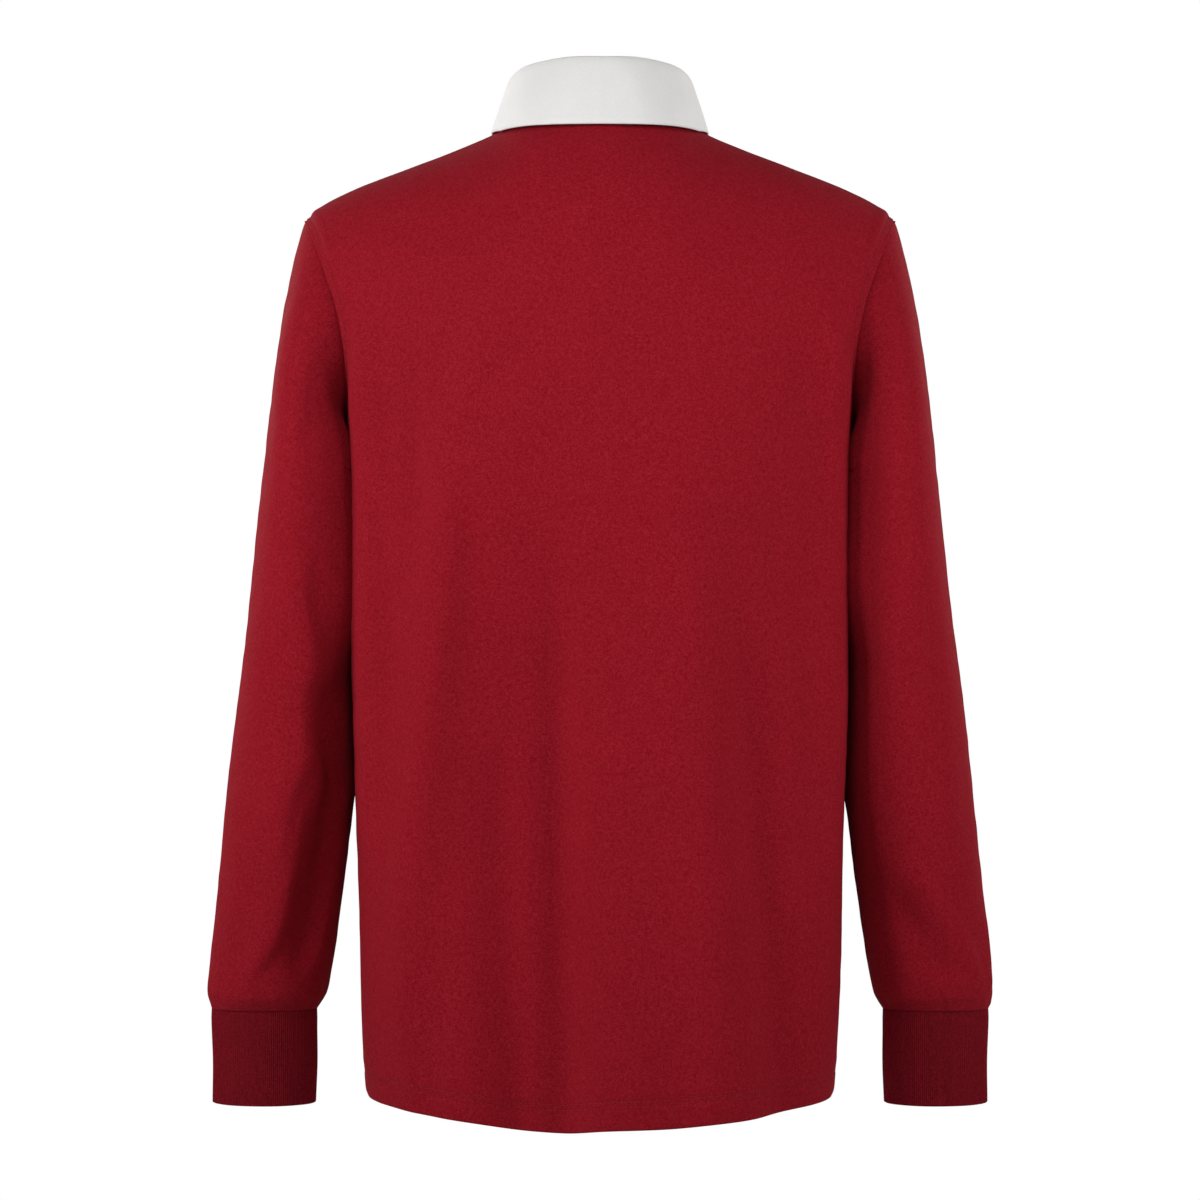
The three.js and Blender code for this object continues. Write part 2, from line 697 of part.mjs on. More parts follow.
// A ribbed tube: ribs stand on the outside, and the inside is plain
function cuffGeometry() {
  const outerCount = CUFF.ribs * 2;
  const perInner = outerCount / CUFF.inner;
  const positions = [];
  const level = (i, count, shape) => {
    const t = i / (CUFF.levels - 1);
    const z = THREE.MathUtils.lerp(CUFF.top, CUFF.bottom, t);
    const halfWidth = THREE.MathUtils.lerp(CUFF.halfWidthTop, CUFF.halfWidthBottom, t);
    const halfDepth = THREE.MathUtils.lerp(CUFF.halfDepthTop, CUFF.halfDepthBottom, t);
    for (let k = 0; k < count; k++) {
      const angle = (2 * Math.PI * k) / count;
      const depth = shape(k);
      positions.push(
        CUFF.middleX + (halfWidth - depth) * Math.cos(angle),
        CUFF.middleY + (halfDepth - depth) * Math.sin(angle),
        z,
      );
    }
  };
  for (let i = 0; i < CUFF.levels; i++)
    level(i, outerCount, (k) => (k % 2 ? CUFF.ribHeight : 0));
  for (let i = 0; i < CUFF.levels; i++) level(i, CUFF.inner, () => CUFF_CLOTH);
  const outer = (i, k) => i * outerCount + (k % outerCount);
  const inside = CUFF.levels * outerCount;
  const inner = (i, k) => inside + i * CUFF.inner + (k % CUFF.inner);
  const triangles = [];
  for (let i = 0; i < CUFF.levels - 1; i++) {
    for (let k = 0; k < outerCount; k++) {
      triangles.push(outer(i, k), outer(i + 1, k), outer(i + 1, k + 1));
      triangles.push(outer(i, k), outer(i + 1, k + 1), outer(i, k + 1));
    }
    for (let k = 0; k < CUFF.inner; k++) {
      triangles.push(inner(i, k), inner(i + 1, k + 1), inner(i + 1, k));
      triangles.push(inner(i, k), inner(i, k + 1), inner(i + 1, k + 1));
    }
  }
  for (const [i, turn] of [
    [0, 1],
    [CUFF.levels - 1, -1],
  ]) {
    const add = (a, b, c) => triangles.push(...(turn > 0 ? [a, b, c] : [c, b, a]));
    for (let k = 0; k < CUFF.inner; k++) {
      const first = k * perInner;
      for (let n = 0; n < perInner; n++) {
        const near = n < perInner / 2 ? k : k + 1;
        add(outer(i, first + n), outer(i, first + n + 1), inner(i, near));
      }
      add(inner(i, k), outer(i, first + perInner / 2), inner(i, k + 1));
    }
  }
  return facingOut(positions, triangles);
}

// Collar

// The neckline all round, from the front middle by the wearer's left and the nape, with a
// point halfway along each of its straight steps
function neckThread() {
  const front = halfNeckline(false);
  const back = halfNeckline(true).reverse().slice(1);
  const left = [...front, ...back];
  const right = left.slice(0, -1).reverse();
  const corners = [...left, ...right.map((p) => new THREE.Vector3(-p.x, p.y, p.z))];
  const points = [corners[0]];
  for (let k = 1; k < corners.length; k++) {
    points.push(corners[k - 1].clone().lerp(corners[k], 0.5), corners[k]);
  }
  return points;
}

// The lines of the collar's cloth at one place: up the stand, over the fold, down the leaf
function collarLine(here, along, fromNape, side) {
  const value = (column) => tableAt(COLLAR, "place", fromNape, column);
  const up = new THREE.Vector3(0, 0, 1);
  const normal = formSlope(here).normalize();
  const into = along.clone().cross(normal).normalize();
  if (into.z < 0) into.negate();
  const out = new THREE.Vector3(along.y, -along.x, 0).normalize();
  if (out.dot(normal) < 0) out.negate();

  const seam = here.clone().addScaledVector(normal, -CLOTH / 2);
  const base = seam.clone().addScaledVector(into, GAP + SEAM_EASE);
  const low = base.clone().addScaledVector(into, STAND_START);
  const top = here.clone().addScaledVector(up, value("stand"));
  top.addScaledVector(out, -value("lean"));
  const under = top.clone().addScaledVector(up, -FOLD_RADIUS);
  const standTop = under.clone().addScaledVector(out, -FOLD_RADIUS);
  const leafTop = under.clone().addScaledVector(out, FOLD_RADIUS);
  const standMiddle = low.clone().lerp(standTop, 0.5).addScaledVector(out, -STAND_HOLLOW);
  const wanted = new THREE.Vector3(side * value("x"), value("y"), value("z"));
  const edge = clearOfForm(wanted, LEAF_CLEARANCE);
  const bow = leafTop.clone().lerp(edge, LEAF_BOW_PLACE).addScaledVector(out, LEAF_BOW);
  const leafMiddle = clearOfForm(bow, LEAF_CLEARANCE);
  return [base, low, standMiddle, standTop, top, leafTop, leafMiddle, edge];
}

// The middle of the collar's cloth, a row of points for each line along it
function collarSurface() {
  const thread = neckThread();
  const last = thread.length - 1;
  const lines = thread.map((point, j) => {
    const along = thread[Math.min(j + 1, last)].clone().sub(thread[Math.max(j - 1, 0)]);
    const isEnd = j === 0 || j === last;
    if (isEnd) along.set(1, 0, 0);
    const side = j < last / 2 ? 1 : -1;
    const here = isEnd ? point.clone().setX(side * COLLAR_PARTING) : point;
    return collarLine(here, along.normalize(), Math.abs(1 - (2 * j) / last), side);
  });
  return lines[0].map((_, s) => lines.map((line) => line[s]));
}

function collarGeometry() {
  const rows = collarSurface();
  const base = rows[0];
  const outward = (point, s, j) => {
    if (s === FOLD_LINE) return new THREE.Vector3(0, 0, 1);
    const direction = new THREE.Vector3(base[j].x, base[j].y, 0).normalize();
    return s < FOLD_LINE ? direction.negate() : direction;
  };
  const normals = gridNormals(rows, outward);
  const half = COLLAR_CLOTH / 2;
  return wallGeometry(offsetGrid(rows, normals, half), offsetGrid(rows, normals, -half));
}

// Placket

// A band of cloth on the front panel, this far outside it
function bandGeometry(halfWidth, lift, bottom) {
  const grid = [];
  for (let i = 0; i <= PLACKET.rows; i++) {
    const row = [];
    for (let j = 0; j <= PLACKET.columns; j++) {
      const x = THREE.MathUtils.lerp(-halfWidth, halfWidth, j / PLACKET.columns);
      const top = necklineHeight(false, x) - PLACKET.topEase;
      const z = THREE.MathUtils.lerp(top, bottom, i / PLACKET.rows);
      row.push(new THREE.Vector3(x, bodyDepth(false, x, z), z));
    }
    grid.push(row);
  }
  const normals = gridNormals(grid, () => new THREE.Vector3(0, -1, 0));
  for (const row of normals) for (const normal of row) normal.setX(0).normalize();
  return wallGeometry(
    offsetGrid(grid, normals, lift + BAND_CLOTH),
    offsetGrid(grid, normals, lift),
  );
}

// A dished button with four thread holes, facing along +Z
function buttonGeometry() {
  const { radius, rim, thickness, dish, bevel, backBevelHeight, segments } = BUTTON;
  const profile = [
    [0, 0],
    [radius - bevel, 0],
    [radius, backBevelHeight],
    [radius, thickness - bevel],
    [radius - rim / 2, thickness],
    [radius - rim, thickness - dish],
    [0, thickness - dish],
  ].map(([r, h]) => new THREE.Vector2(r, h));
  const positions = [];
  const triangles = [];
  const rings = profile.slice(1, -1);
  positions.push(0, 0, profile[0].y);
  for (const { x: r, y: h } of rings)
    for (let k = 0; k < segments; k++) {
      const angle = (2 * Math.PI * k) / segments;
      positions.push(r * Math.cos(angle), r * Math.sin(angle), h);
    }
  positions.push(0, 0, profile[profile.length - 1].y);
  const at = (i, k) => 1 + i * segments + (k % segments);
  const tip = 1 + rings.length * segments;
  for (let k = 0; k < segments; k++) {
    triangles.push(0, at(0, k + 1), at(0, k));
    for (let i = 0; i < rings.length - 1; i++) {
      triangles.push(at(i, k), at(i, k + 1), at(i + 1, k + 1));
      triangles.push(at(i, k), at(i + 1, k + 1), at(i + 1, k));
    }
    triangles.push(tip, at(rings.length - 1, k), at(rings.length - 1, k + 1));
  }
  let solid = solidOf(facingOut(positions, triangles));
  for (const [x, y] of [
    [1, 1],
    [1, -1],
    [-1, 1],
    [-1, -1],
  ]) {
    const spacing = BUTTON.holeSpacing;
    const hole = prism(x * spacing, y * spacing, BUTTON.holeRadius, -1, thickness + 1);
    solid = solid.subtract(hole);
  }
  return geometryOf(solid);
}

// An upright prism that cuts a thread hole, as a solid
function prism(x, y, radius, low, high) {
  const sides = BUTTON.holeSides;
  const positions = [];
  for (const z of [low, high])
    for (let k = 0; k < sides; k++) {
      const angle = (2 * Math.PI * k) / sides;
      positions.push(x + radius * Math.cos(angle), y + radius * Math.sin(angle), z);
    }
  const triangles = [];
  for (let k = 0; k < sides; k++) {
    const next = (k + 1) % sides;
    triangles.push(k, next, sides + next, k, sides + next, sides + k);
    if (k > 0 && next > 0) triangles.push(0, next, k, sides, sides + k, sides + next);
  }
  return solidOf(facingOut(positions, triangles));
}

// Assembly

const RED_KNIT = new THREE.MeshStandardMaterial({ color: "#8a1724", roughness: 0.95 });
const RED_RIB = new THREE.MeshStandardMaterial({ color: "#6a1019", roughness: 0.95 });
const WHITE_TWILL = new THREE.MeshStandardMaterial({ color: "#ebeae8", roughness: 0.9 });
const RUBBER = new THREE.MeshStandardMaterial({ color: "#e4e2dc", roughness: 0.55 });

const shirt = new THREE.Group();
shirt.name = "rugby_shirt";

function addPiece(name, geometry, material) {
  const mesh = new THREE.Mesh(geometry, material);
  mesh.name = name;
  shirt.add(mesh);
  return mesh;
}

addPiece("back", panelGeometry(BACK, true), RED_KNIT);
addPiece("front", frontGeometry(), RED_KNIT);

const sleeve = sleeveGeometry();
addPiece("sleeve_left", sleeve, RED_KNIT);
addPiece("sleeve_right", mirrored(sleeve), RED_KNIT);

const cuff = cuffGeometry();
addPiece("cuff_left", cuff, RED_RIB);
addPiece("cuff_right", mirrored(cuff), RED_RIB);

addPiece("collar", collarGeometry(), WHITE_TWILL);

const underBottom = PLACKET.slitBottom + GAP;
const underBand = bandGeometry(PLACKET.slitHalfWidth, -BAND_CLOTH, underBottom);
addPiece("placket_under", underBand, WHITE_TWILL);
const overBand = bandGeometry(PLACKET.halfWidth, PLACKET.overLift, PLACKET.bottom);
addPiece("placket_over", overBand, WHITE_TWILL);

const button = buttonGeometry();
BUTTON.heights.forEach((z, k) => {
  const place = new THREE.Vector3(0, bodyDepth(false, 0, z), z);
  const normal = formSlope(place).setX(0).normalize();
  const seat = PLACKET.overLift + BAND_CLOTH + GAP;
  const mesh = addPiece(`button_${k + 1}`, button, RUBBER);
  mesh.quaternion.setFromUnitVectors(new THREE.Vector3(0, 0, 1), normal);
  mesh.position.copy(place).addScaledVector(normal, seat);
});

export default shirt;
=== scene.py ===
"""Looks of a long-sleeved rugby shirt: red knit body and sleeves, ribbed cuffs and a white collar.

Sizes are in millimetres until a mesh is made. The front faces -Y and the wearer's left is +X.
"""

import logging
import math
from dataclasses import dataclass
from enum import Enum
from typing import Callable, ClassVar, Sequence

import bmesh
import bpy
import numpy as np
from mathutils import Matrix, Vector


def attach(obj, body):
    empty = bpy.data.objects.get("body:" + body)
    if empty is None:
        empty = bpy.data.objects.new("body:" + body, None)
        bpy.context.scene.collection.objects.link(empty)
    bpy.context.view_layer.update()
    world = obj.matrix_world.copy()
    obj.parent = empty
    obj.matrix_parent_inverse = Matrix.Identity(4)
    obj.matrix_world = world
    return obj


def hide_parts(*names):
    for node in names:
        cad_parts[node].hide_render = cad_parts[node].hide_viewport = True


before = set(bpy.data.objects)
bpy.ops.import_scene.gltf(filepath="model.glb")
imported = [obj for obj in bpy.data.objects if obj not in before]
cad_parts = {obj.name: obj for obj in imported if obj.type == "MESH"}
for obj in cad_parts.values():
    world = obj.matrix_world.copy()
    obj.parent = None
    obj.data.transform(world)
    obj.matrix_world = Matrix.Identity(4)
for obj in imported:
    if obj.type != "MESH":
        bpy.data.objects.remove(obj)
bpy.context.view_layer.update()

LOG = logging.getLogger("rugby_shirt")
MM = 0.001
TURN = 2 * math.pi
WEAVE = "weave"
Array = np.ndarray
Rows = Sequence[tuple[float, ...]]


class Face(Enum):
    """The two panels of the body, by the side of the shirt that they cover."""

    BACK = 1
    FRONT = -1


class Hand(Enum):
    """The wearer's side that a sleeve or cuff is on."""

    LEFT = 1
    RIGHT = -1


# Numbers and grids


def smoothstep(low: float, high: float, value: Array) -> Array:
    """A soft step from 0 at low to 1 at high.

    Args:
        low: Where the step starts.
        high: Where the step ends.
        value: The values to read the step at.

    Returns:
        The step's height at each value.
    """
    t = np.clip((value - low) / (high - low), 0.0, 1.0)
    return t * t * (3 - 2 * t)


def bell(value: Array, middle: float, width: float) -> Array:
    """A smooth hump of height 1.

    Args:
        value: The values to read the hump at.
        middle: Where its top is.
        width: How far from the top it falls to about a third.

    Returns:
        The hump's height at each value.
    """
    return np.exp(-(((value - middle) / width) ** 2))


def lerp(a: Array, b: Array, t: Array) -> Array:
    """The value a part t of the way from a to b."""
    return a + (b - a) * t


def unit(vectors: Array) -> Array:
    """The same vectors with a length of 1."""
    return vectors / np.maximum(np.linalg.norm(vectors, axis=-1, keepdims=True), 1e-12)


class Curve:
    """A smooth curve through the rows of a table, which never overshoots them."""

    def __init__(self, rows: Rows, column: int = 1) -> None:
        """Reads one column of a table whose first column is the key.

        Args:
            rows: The table's rows.
            column: The column that the curve gives.
        """
        ordered = sorted(rows)
        self.keys = np.array([row[0] for row in ordered], float)
        self.values = np.array([row[column] for row in ordered], float)
        secants = np.diff(self.values) / np.diff(self.keys)
        before, after = secants[:-1], secants[1:]
        total = np.where(before * after > 0, before + after, 1.0)
        inner = np.where(before * after > 0, 2 * before * after / total, 0.0)
        self.slopes = np.concatenate([secants[:1], inner, secants[-1:]])

    def __call__(self, key: Array) -> Array:
        """The curve's value.

        Args:
            key: Where to read the curve; beyond its ends it stays level.

        Returns:
            The value at each key.
        """
        key = np.clip(key, self.keys[0], self.keys[-1])
        k = np.clip(np.searchsorted(self.keys, key, "right") - 1, 0, len(self.keys) - 2)
        span = self.keys[k + 1] - self.keys[k]
        t = (key - self.keys[k]) / span
        t2, t3 = t * t, t * t * t
        return (
            self.values[k] * (2 * t3 - 3 * t2 + 1)
            + self.values[k + 1] * (3 * t2 - 2 * t3)
            + self.slopes[k] * span * (t3 - 2 * t2 + t)
            + self.slopes[k + 1] * span * (t3 - t2)
        )


class EvenPath:
    """Turns a share of a path's length into the number that gives its point."""

    def __init__(self, path: Callable[[Array], Array], samples: int = 600) -> None:
        """Measures a path.

        Args:
            path: Gives a point for each number from 0 to 1.
            samples: How many steps it is measured in.
        """
        self.numbers = np.linspace(0, 1, samples + 1)
        steps = np.linalg.norm(np.diff(path(self.numbers), axis=0), axis=1)
        self.lengths = np.concatenate([[0.0], np.cumsum(steps)])
        self.length = float(self.lengths[-1])

    def __call__(self, share: Array) -> Array:
        """The number at each share of the length, from 0 to 1."""
        return np.interp(share * self.length, self.lengths, self.numbers)


def graded(total: float, fine: float, reach: float, coarse: float) -> Array:
    """Steps along a length that are fine near its start and coarse beyond.

    Args:
        total: The length.
        fine: The size of the fine steps.
        reach: How far the fine steps go.
        coarse: The size of the other steps.

    Returns:
        Places from 0 to total.
    """
    near = np.linspace(0, reach, max(int(round(reach / fine)), 1) + 1)
    far = np.linspace(reach, total, max(int(round((total - reach) / coarse)), 1) + 1)
    return np.concatenate([near, far[1:]])


def grid_normals(grid: Array, closed: bool = False) -> Array:
    """Unit normals of a grid of points.

    Args:
        grid: Points by row and column.
        closed: Whether the last column joins the first.

    Returns:
        A normal for each point.
    """
    if closed:
        across = np.roll(grid, -1, 1) - np.roll(grid, 1, 1)
    else:
        across = np.gradient(grid, axis=1)
    return unit(np.cross(across, np.gradient(grid, axis=0)))


def facing(normals: Array, outward: Array) -> Array:
    """Turns all of a surface's normals round if most of them face away from a hint."""
    return normals if np.sum(normals * outward) >= 0 else -normals


def run_lengths(grid: Array, axis: int) -> Array:
    """How far each point of a grid lies along its row or column.

    Args:
        grid: Points by row and column.
        axis: 0 to measure down the columns, 1 to measure along the rows.

    Returns:
        The distance from the first point, for each point.
    """
    steps = np.linalg.norm(np.diff(grid, axis=axis), axis=-1)
    start = np.zeros((1, grid.shape[1]) if axis == 0 else (grid.shape[0], 1))
    return np.concatenate([start, np.cumsum(steps, axis=axis)], axis=axis)


def smooth_line(points: Array, pieces: int) -> Array:
    """A curve through a row of points, with knots spaced by the root of the distance.

    Args:
        points: The points, with any more axes before the last two.
        pieces: How many pieces the curve has between two points.

    Returns:
        The curve's points.
    """
    count = points.shape[-2]
    first = 2 * points[..., :1, :] - points[..., 1:2, :]
    last = 2 * points[..., -1:, :] - points[..., -2:-1, :]
    p = np.concatenate([first, points, last], axis=-2)
    gaps = np.sqrt(np.linalg.norm(np.diff(p, axis=-2), axis=-1)) + 1e-9
    found = []
    for k in range(count - 1):
        p0, p1, p2, p3 = (p[..., k + n, :] for n in range(4))
        d1, d2, d3 = (gaps[..., k + n, None] for n in range(3))
        m1 = d2 * ((p1 - p0) / d1 - (p2 - p0) / (d1 + d2) + (p2 - p1) / d2)
        m2 = d2 * ((p2 - p1) / d2 - (p3 - p1) / (d2 + d3) + (p3 - p2) / d3)
        for t in np.arange(pieces) / pieces:
            t2, t3 = t * t, t * t * t
            found.append(
                p1 * (2 * t3 - 3 * t2 + 1)
                + m1 * (t3 - 2 * t2 + t)
                + p2 * (3 * t2 - 2 * t3)
                + m2 * (t3 - t2)
            )
    found.append(points[..., -1, :])
    return np.stack(found, axis=-2)


@dataclass(frozen=True)
class Crease:
    """A soft ridge or trough of the cloth, drawn along a line.

    The line is in the plane of the surface: across and up. fade is the share of the line over
    which the crease grows at its start and dies away at its end.
    """

    line: tuple[tuple[float, float], ...]
    width: float
    height: float
    skew: float
    fade: tuple[float, float]
    # How many widths away it is still felt, and the dip at its foot with its own width
    REACH: ClassVar[float] = 3.2
    DIP: ClassVar[float] = 0.15
    DIP_WIDTH: ClassVar[float] = 2.2

    def lift(self, across: Array, up: Array) -> Array:
        """How far the crease moves the cloth outwards.

        Args:
            across: Each point's place across the surface.
            up: Each point's place up the surface.

        Returns:
            The distance at each point.
        """
        line = smooth_line(np.array(self.line, float), 6)
        steps = np.diff(line, axis=0)
        lengths = np.linalg.norm(steps, axis=1)
        starts = np.concatenate([[0.0], np.cumsum(lengths)])
        reach = self.REACH * self.width
        low, high = line.min(0) - reach, line.max(0) + reach
        near = (across > low[0]) & (across < high[0]) & (up > low[1]) & (up < high[1])
        points = np.stack([across[near], up[near]], axis=-1)
        best = np.full(len(points), np.inf)
        side = np.zeros(len(points))
        along = np.zeros(len(points))
        for k, step in enumerate(steps):
            away = points - line[k]
            t = np.clip(away @ step / lengths[k] ** 2, 0, 1)
            distance = np.linalg.norm(away - t[:, None] * step, axis=1)
            closer = distance < best
            best = np.where(closer, distance, best)
            turn = step[0] * away[:, 1] - step[1] * away[:, 0]
            side = np.where(closer, np.sign(turn) * distance, side)
            along = np.where(closer, (starts[k] + t * lengths[k]) / starts[-1], along)
        wide = self.width * (1 + self.skew * np.tanh(1.5 * side / self.width))
        q = side / wide
        dip = self.DIP * np.exp(-((q / self.DIP_WIDTH) ** 2))
        profile = (1 + self.DIP) * np.exp(-q * q) - dip
        for share, place in ((self.fade[0], along), (self.fade[1], 1 - along)):
            if share > 0:
                profile = profile * smoothstep(0, share, place)
        lifted = np.zeros(across.shape)
        lifted[near] = self.height * profile
        return lifted


@dataclass(frozen=True)
class Unevenness:
    """Small smooth unevenness of hanging cloth, the same on every run."""

    seed: int
    size: float
    height: float
    stretch: float = 1.0
    WAVES: ClassVar[int] = 22

    def lift(self, across: Array, up: Array) -> Array:
        """How far the cloth moves outwards.

        Args:
            across: Each point's place across the surface.
            up: Each point's place up the surface.

        Returns:
            The distance at each point.
        """
        dice = np.random.default_rng(self.seed)
        total = np.zeros(across.shape)
        for _ in range(self.WAVES):
            angle, phase = dice.uniform(0, TURN, 2)
            pitch = self.size * dice.uniform(0.7, 1.8)
            wave = across * math.cos(angle) + up * math.sin(angle) / self.stretch
            total += np.sin(TURN * wave / pitch + phase)
        return self.height * total / math.sqrt(self.WAVES)


# Meshes


def link_mesh(name: str, vertices: Array, faces: list[tuple[int, ...]]) -> bpy.types.Object:
    """Makes a smooth-shaded object from points in millimetres.

    Args:
        name: The piece's name.
        vertices: The points.
        faces: Each face's point numbers.

    Returns:
        The new object.
    """
    mesh = bpy.data.meshes.new(name)
    mesh.from_pydata((vertices * MM).tolist(), [], faces)
    mesh.update()
    mesh.polygons.foreach_set("use_smooth", [True] * len(mesh.polygons))
    piece = bpy.data.objects.new(name, mesh)
    bpy.context.scene.collection.objects.link(piece)
    return piece


def enclosed(vertices: Array, faces: Array) -> float:
    """The signed volume inside a closed mesh of four-sided faces.

    Args:
        vertices: The points.
        faces: Four point numbers a face.

    Returns:
        The volume, below zero where the faces look inwards.
    """
    a, b, c, d = (vertices[faces[:, k]] for k in range(4))
    first = np.einsum("ij,ij->i", a, np.cross(b, c))
    return float(np.sum(first + np.einsum("ij,ij->i", a, np.cross(c, d))) / 6)


@dataclass
class Shell:
    """A wall of cloth between two grids of points, with a rounded rim at its free borders."""

    outer: Array
    inner: Array
    weave: Array
    closed: bool = False
    bulge: float = 0.35

    def piece(self, name: str) -> bpy.types.Object:
        """Makes the wall as one closed mesh.

        Args:
            name: The piece's name.

        Returns:
            The new object, with its weave laid out in metres.
        """
        rows, columns = self.outer.shape[:2]
        steps = columns if self.closed else columns - 1
        i, j = np.meshgrid(np.arange(rows - 1), np.arange(steps), indexing="ij")
        corners = [(i, j), (i + 1, j), (i + 1, j + 1), (i, j + 1)]
        at = np.stack([a * columns + b % columns for a, b in corners], -1).reshape(-1, 4)
        places = np.stack([self.weave[a, b] for a, b in corners], -2).reshape(-1, 4, 2)
        count = rows * columns
        faces = [at, count + at[:, ::-1]]
        weave = [places, places[:, ::-1]]
        rims = []
        start = 2 * count
        for loop in self.borders():
            rim, quads, laid = self.rim(loop, start)
            rims.append(rim)
            faces.append(quads)
            weave.append(laid)
            start += len(rim)
        flat = [self.outer.reshape(-1, 3), self.inner.reshape(-1, 3)]
        vertices = np.concatenate(flat + rims)
        joined = np.concatenate(faces)
        laid_out = np.concatenate(weave)
        if enclosed(vertices, joined) < 0:
            joined = joined[:, ::-1]
            laid_out = laid_out[:, ::-1]
        made = link_mesh(name, vertices, joined.tolist())
        layer = made.data.uv_layers.new(name=WEAVE)
        layer.uv.foreach_set("vector", (laid_out * MM).astype(np.float32).ravel())
        return made

    def borders(self) -> list[Array]:
        """The grid's free borders, each a closed walk of row, column, inner row, inner column."""
        rows, columns = self.outer.shape[:2]
        if self.closed:
            across = np.arange(columns)
            top = [(0, j, 1, j) for j in across]
            foot = [(rows - 1, j, rows - 2, j) for j in across[::-1]]
            return [np.array(top), np.array(foot)]
        walk = [(0, j, 1, j) for j in range(columns - 1)]
        walk += [(i, columns - 1, i, columns - 2) for i in range(rows - 1)]
        walk += [(rows - 1, j, rows - 2, j) for j in range(columns - 1, 0, -1)]
        walk += [(i, 0, i, 1) for i in range(rows - 1, 0, -1)]
        return [np.array(walk)]

    def rim(self, loop: Array, start: int) -> tuple[Array, Array, Array]:
        """The rounded strip that joins the outer and inner grid along one border.

        Args:
            loop: The border's walk.
            start: The number of the strip's first point.

        Returns:
            The strip's points, its faces and their places in the weave.
        """
        columns = self.outer.shape[1]
        i, j, near_i, near_j = loop.T
        outer, inner = self.outer[i, j], self.inner[i, j]
        out = unit(outer - self.outer[near_i, near_j])
        thick = np.linalg.norm(outer - inner, axis=1, keepdims=True)
        rim = (outer + inner) / 2 + out * thick * self.bulge
        here = i * columns + j
        middle = start + np.arange(len(loop))
        inside = self.outer.shape[0] * columns + here
        quads = []
        for a, b in ((here, middle), (middle, inside)):
            quads.append(np.stack([a, np.roll(a, -1), np.roll(b, -1), b], -1))
        place = self.weave[i, j]
        laid = np.stack([place, np.roll(place, -1, 0), np.roll(place, -1, 0), place], 1)
        return rim, np.concatenate(quads), np.concatenate([laid, laid])


# Finishes


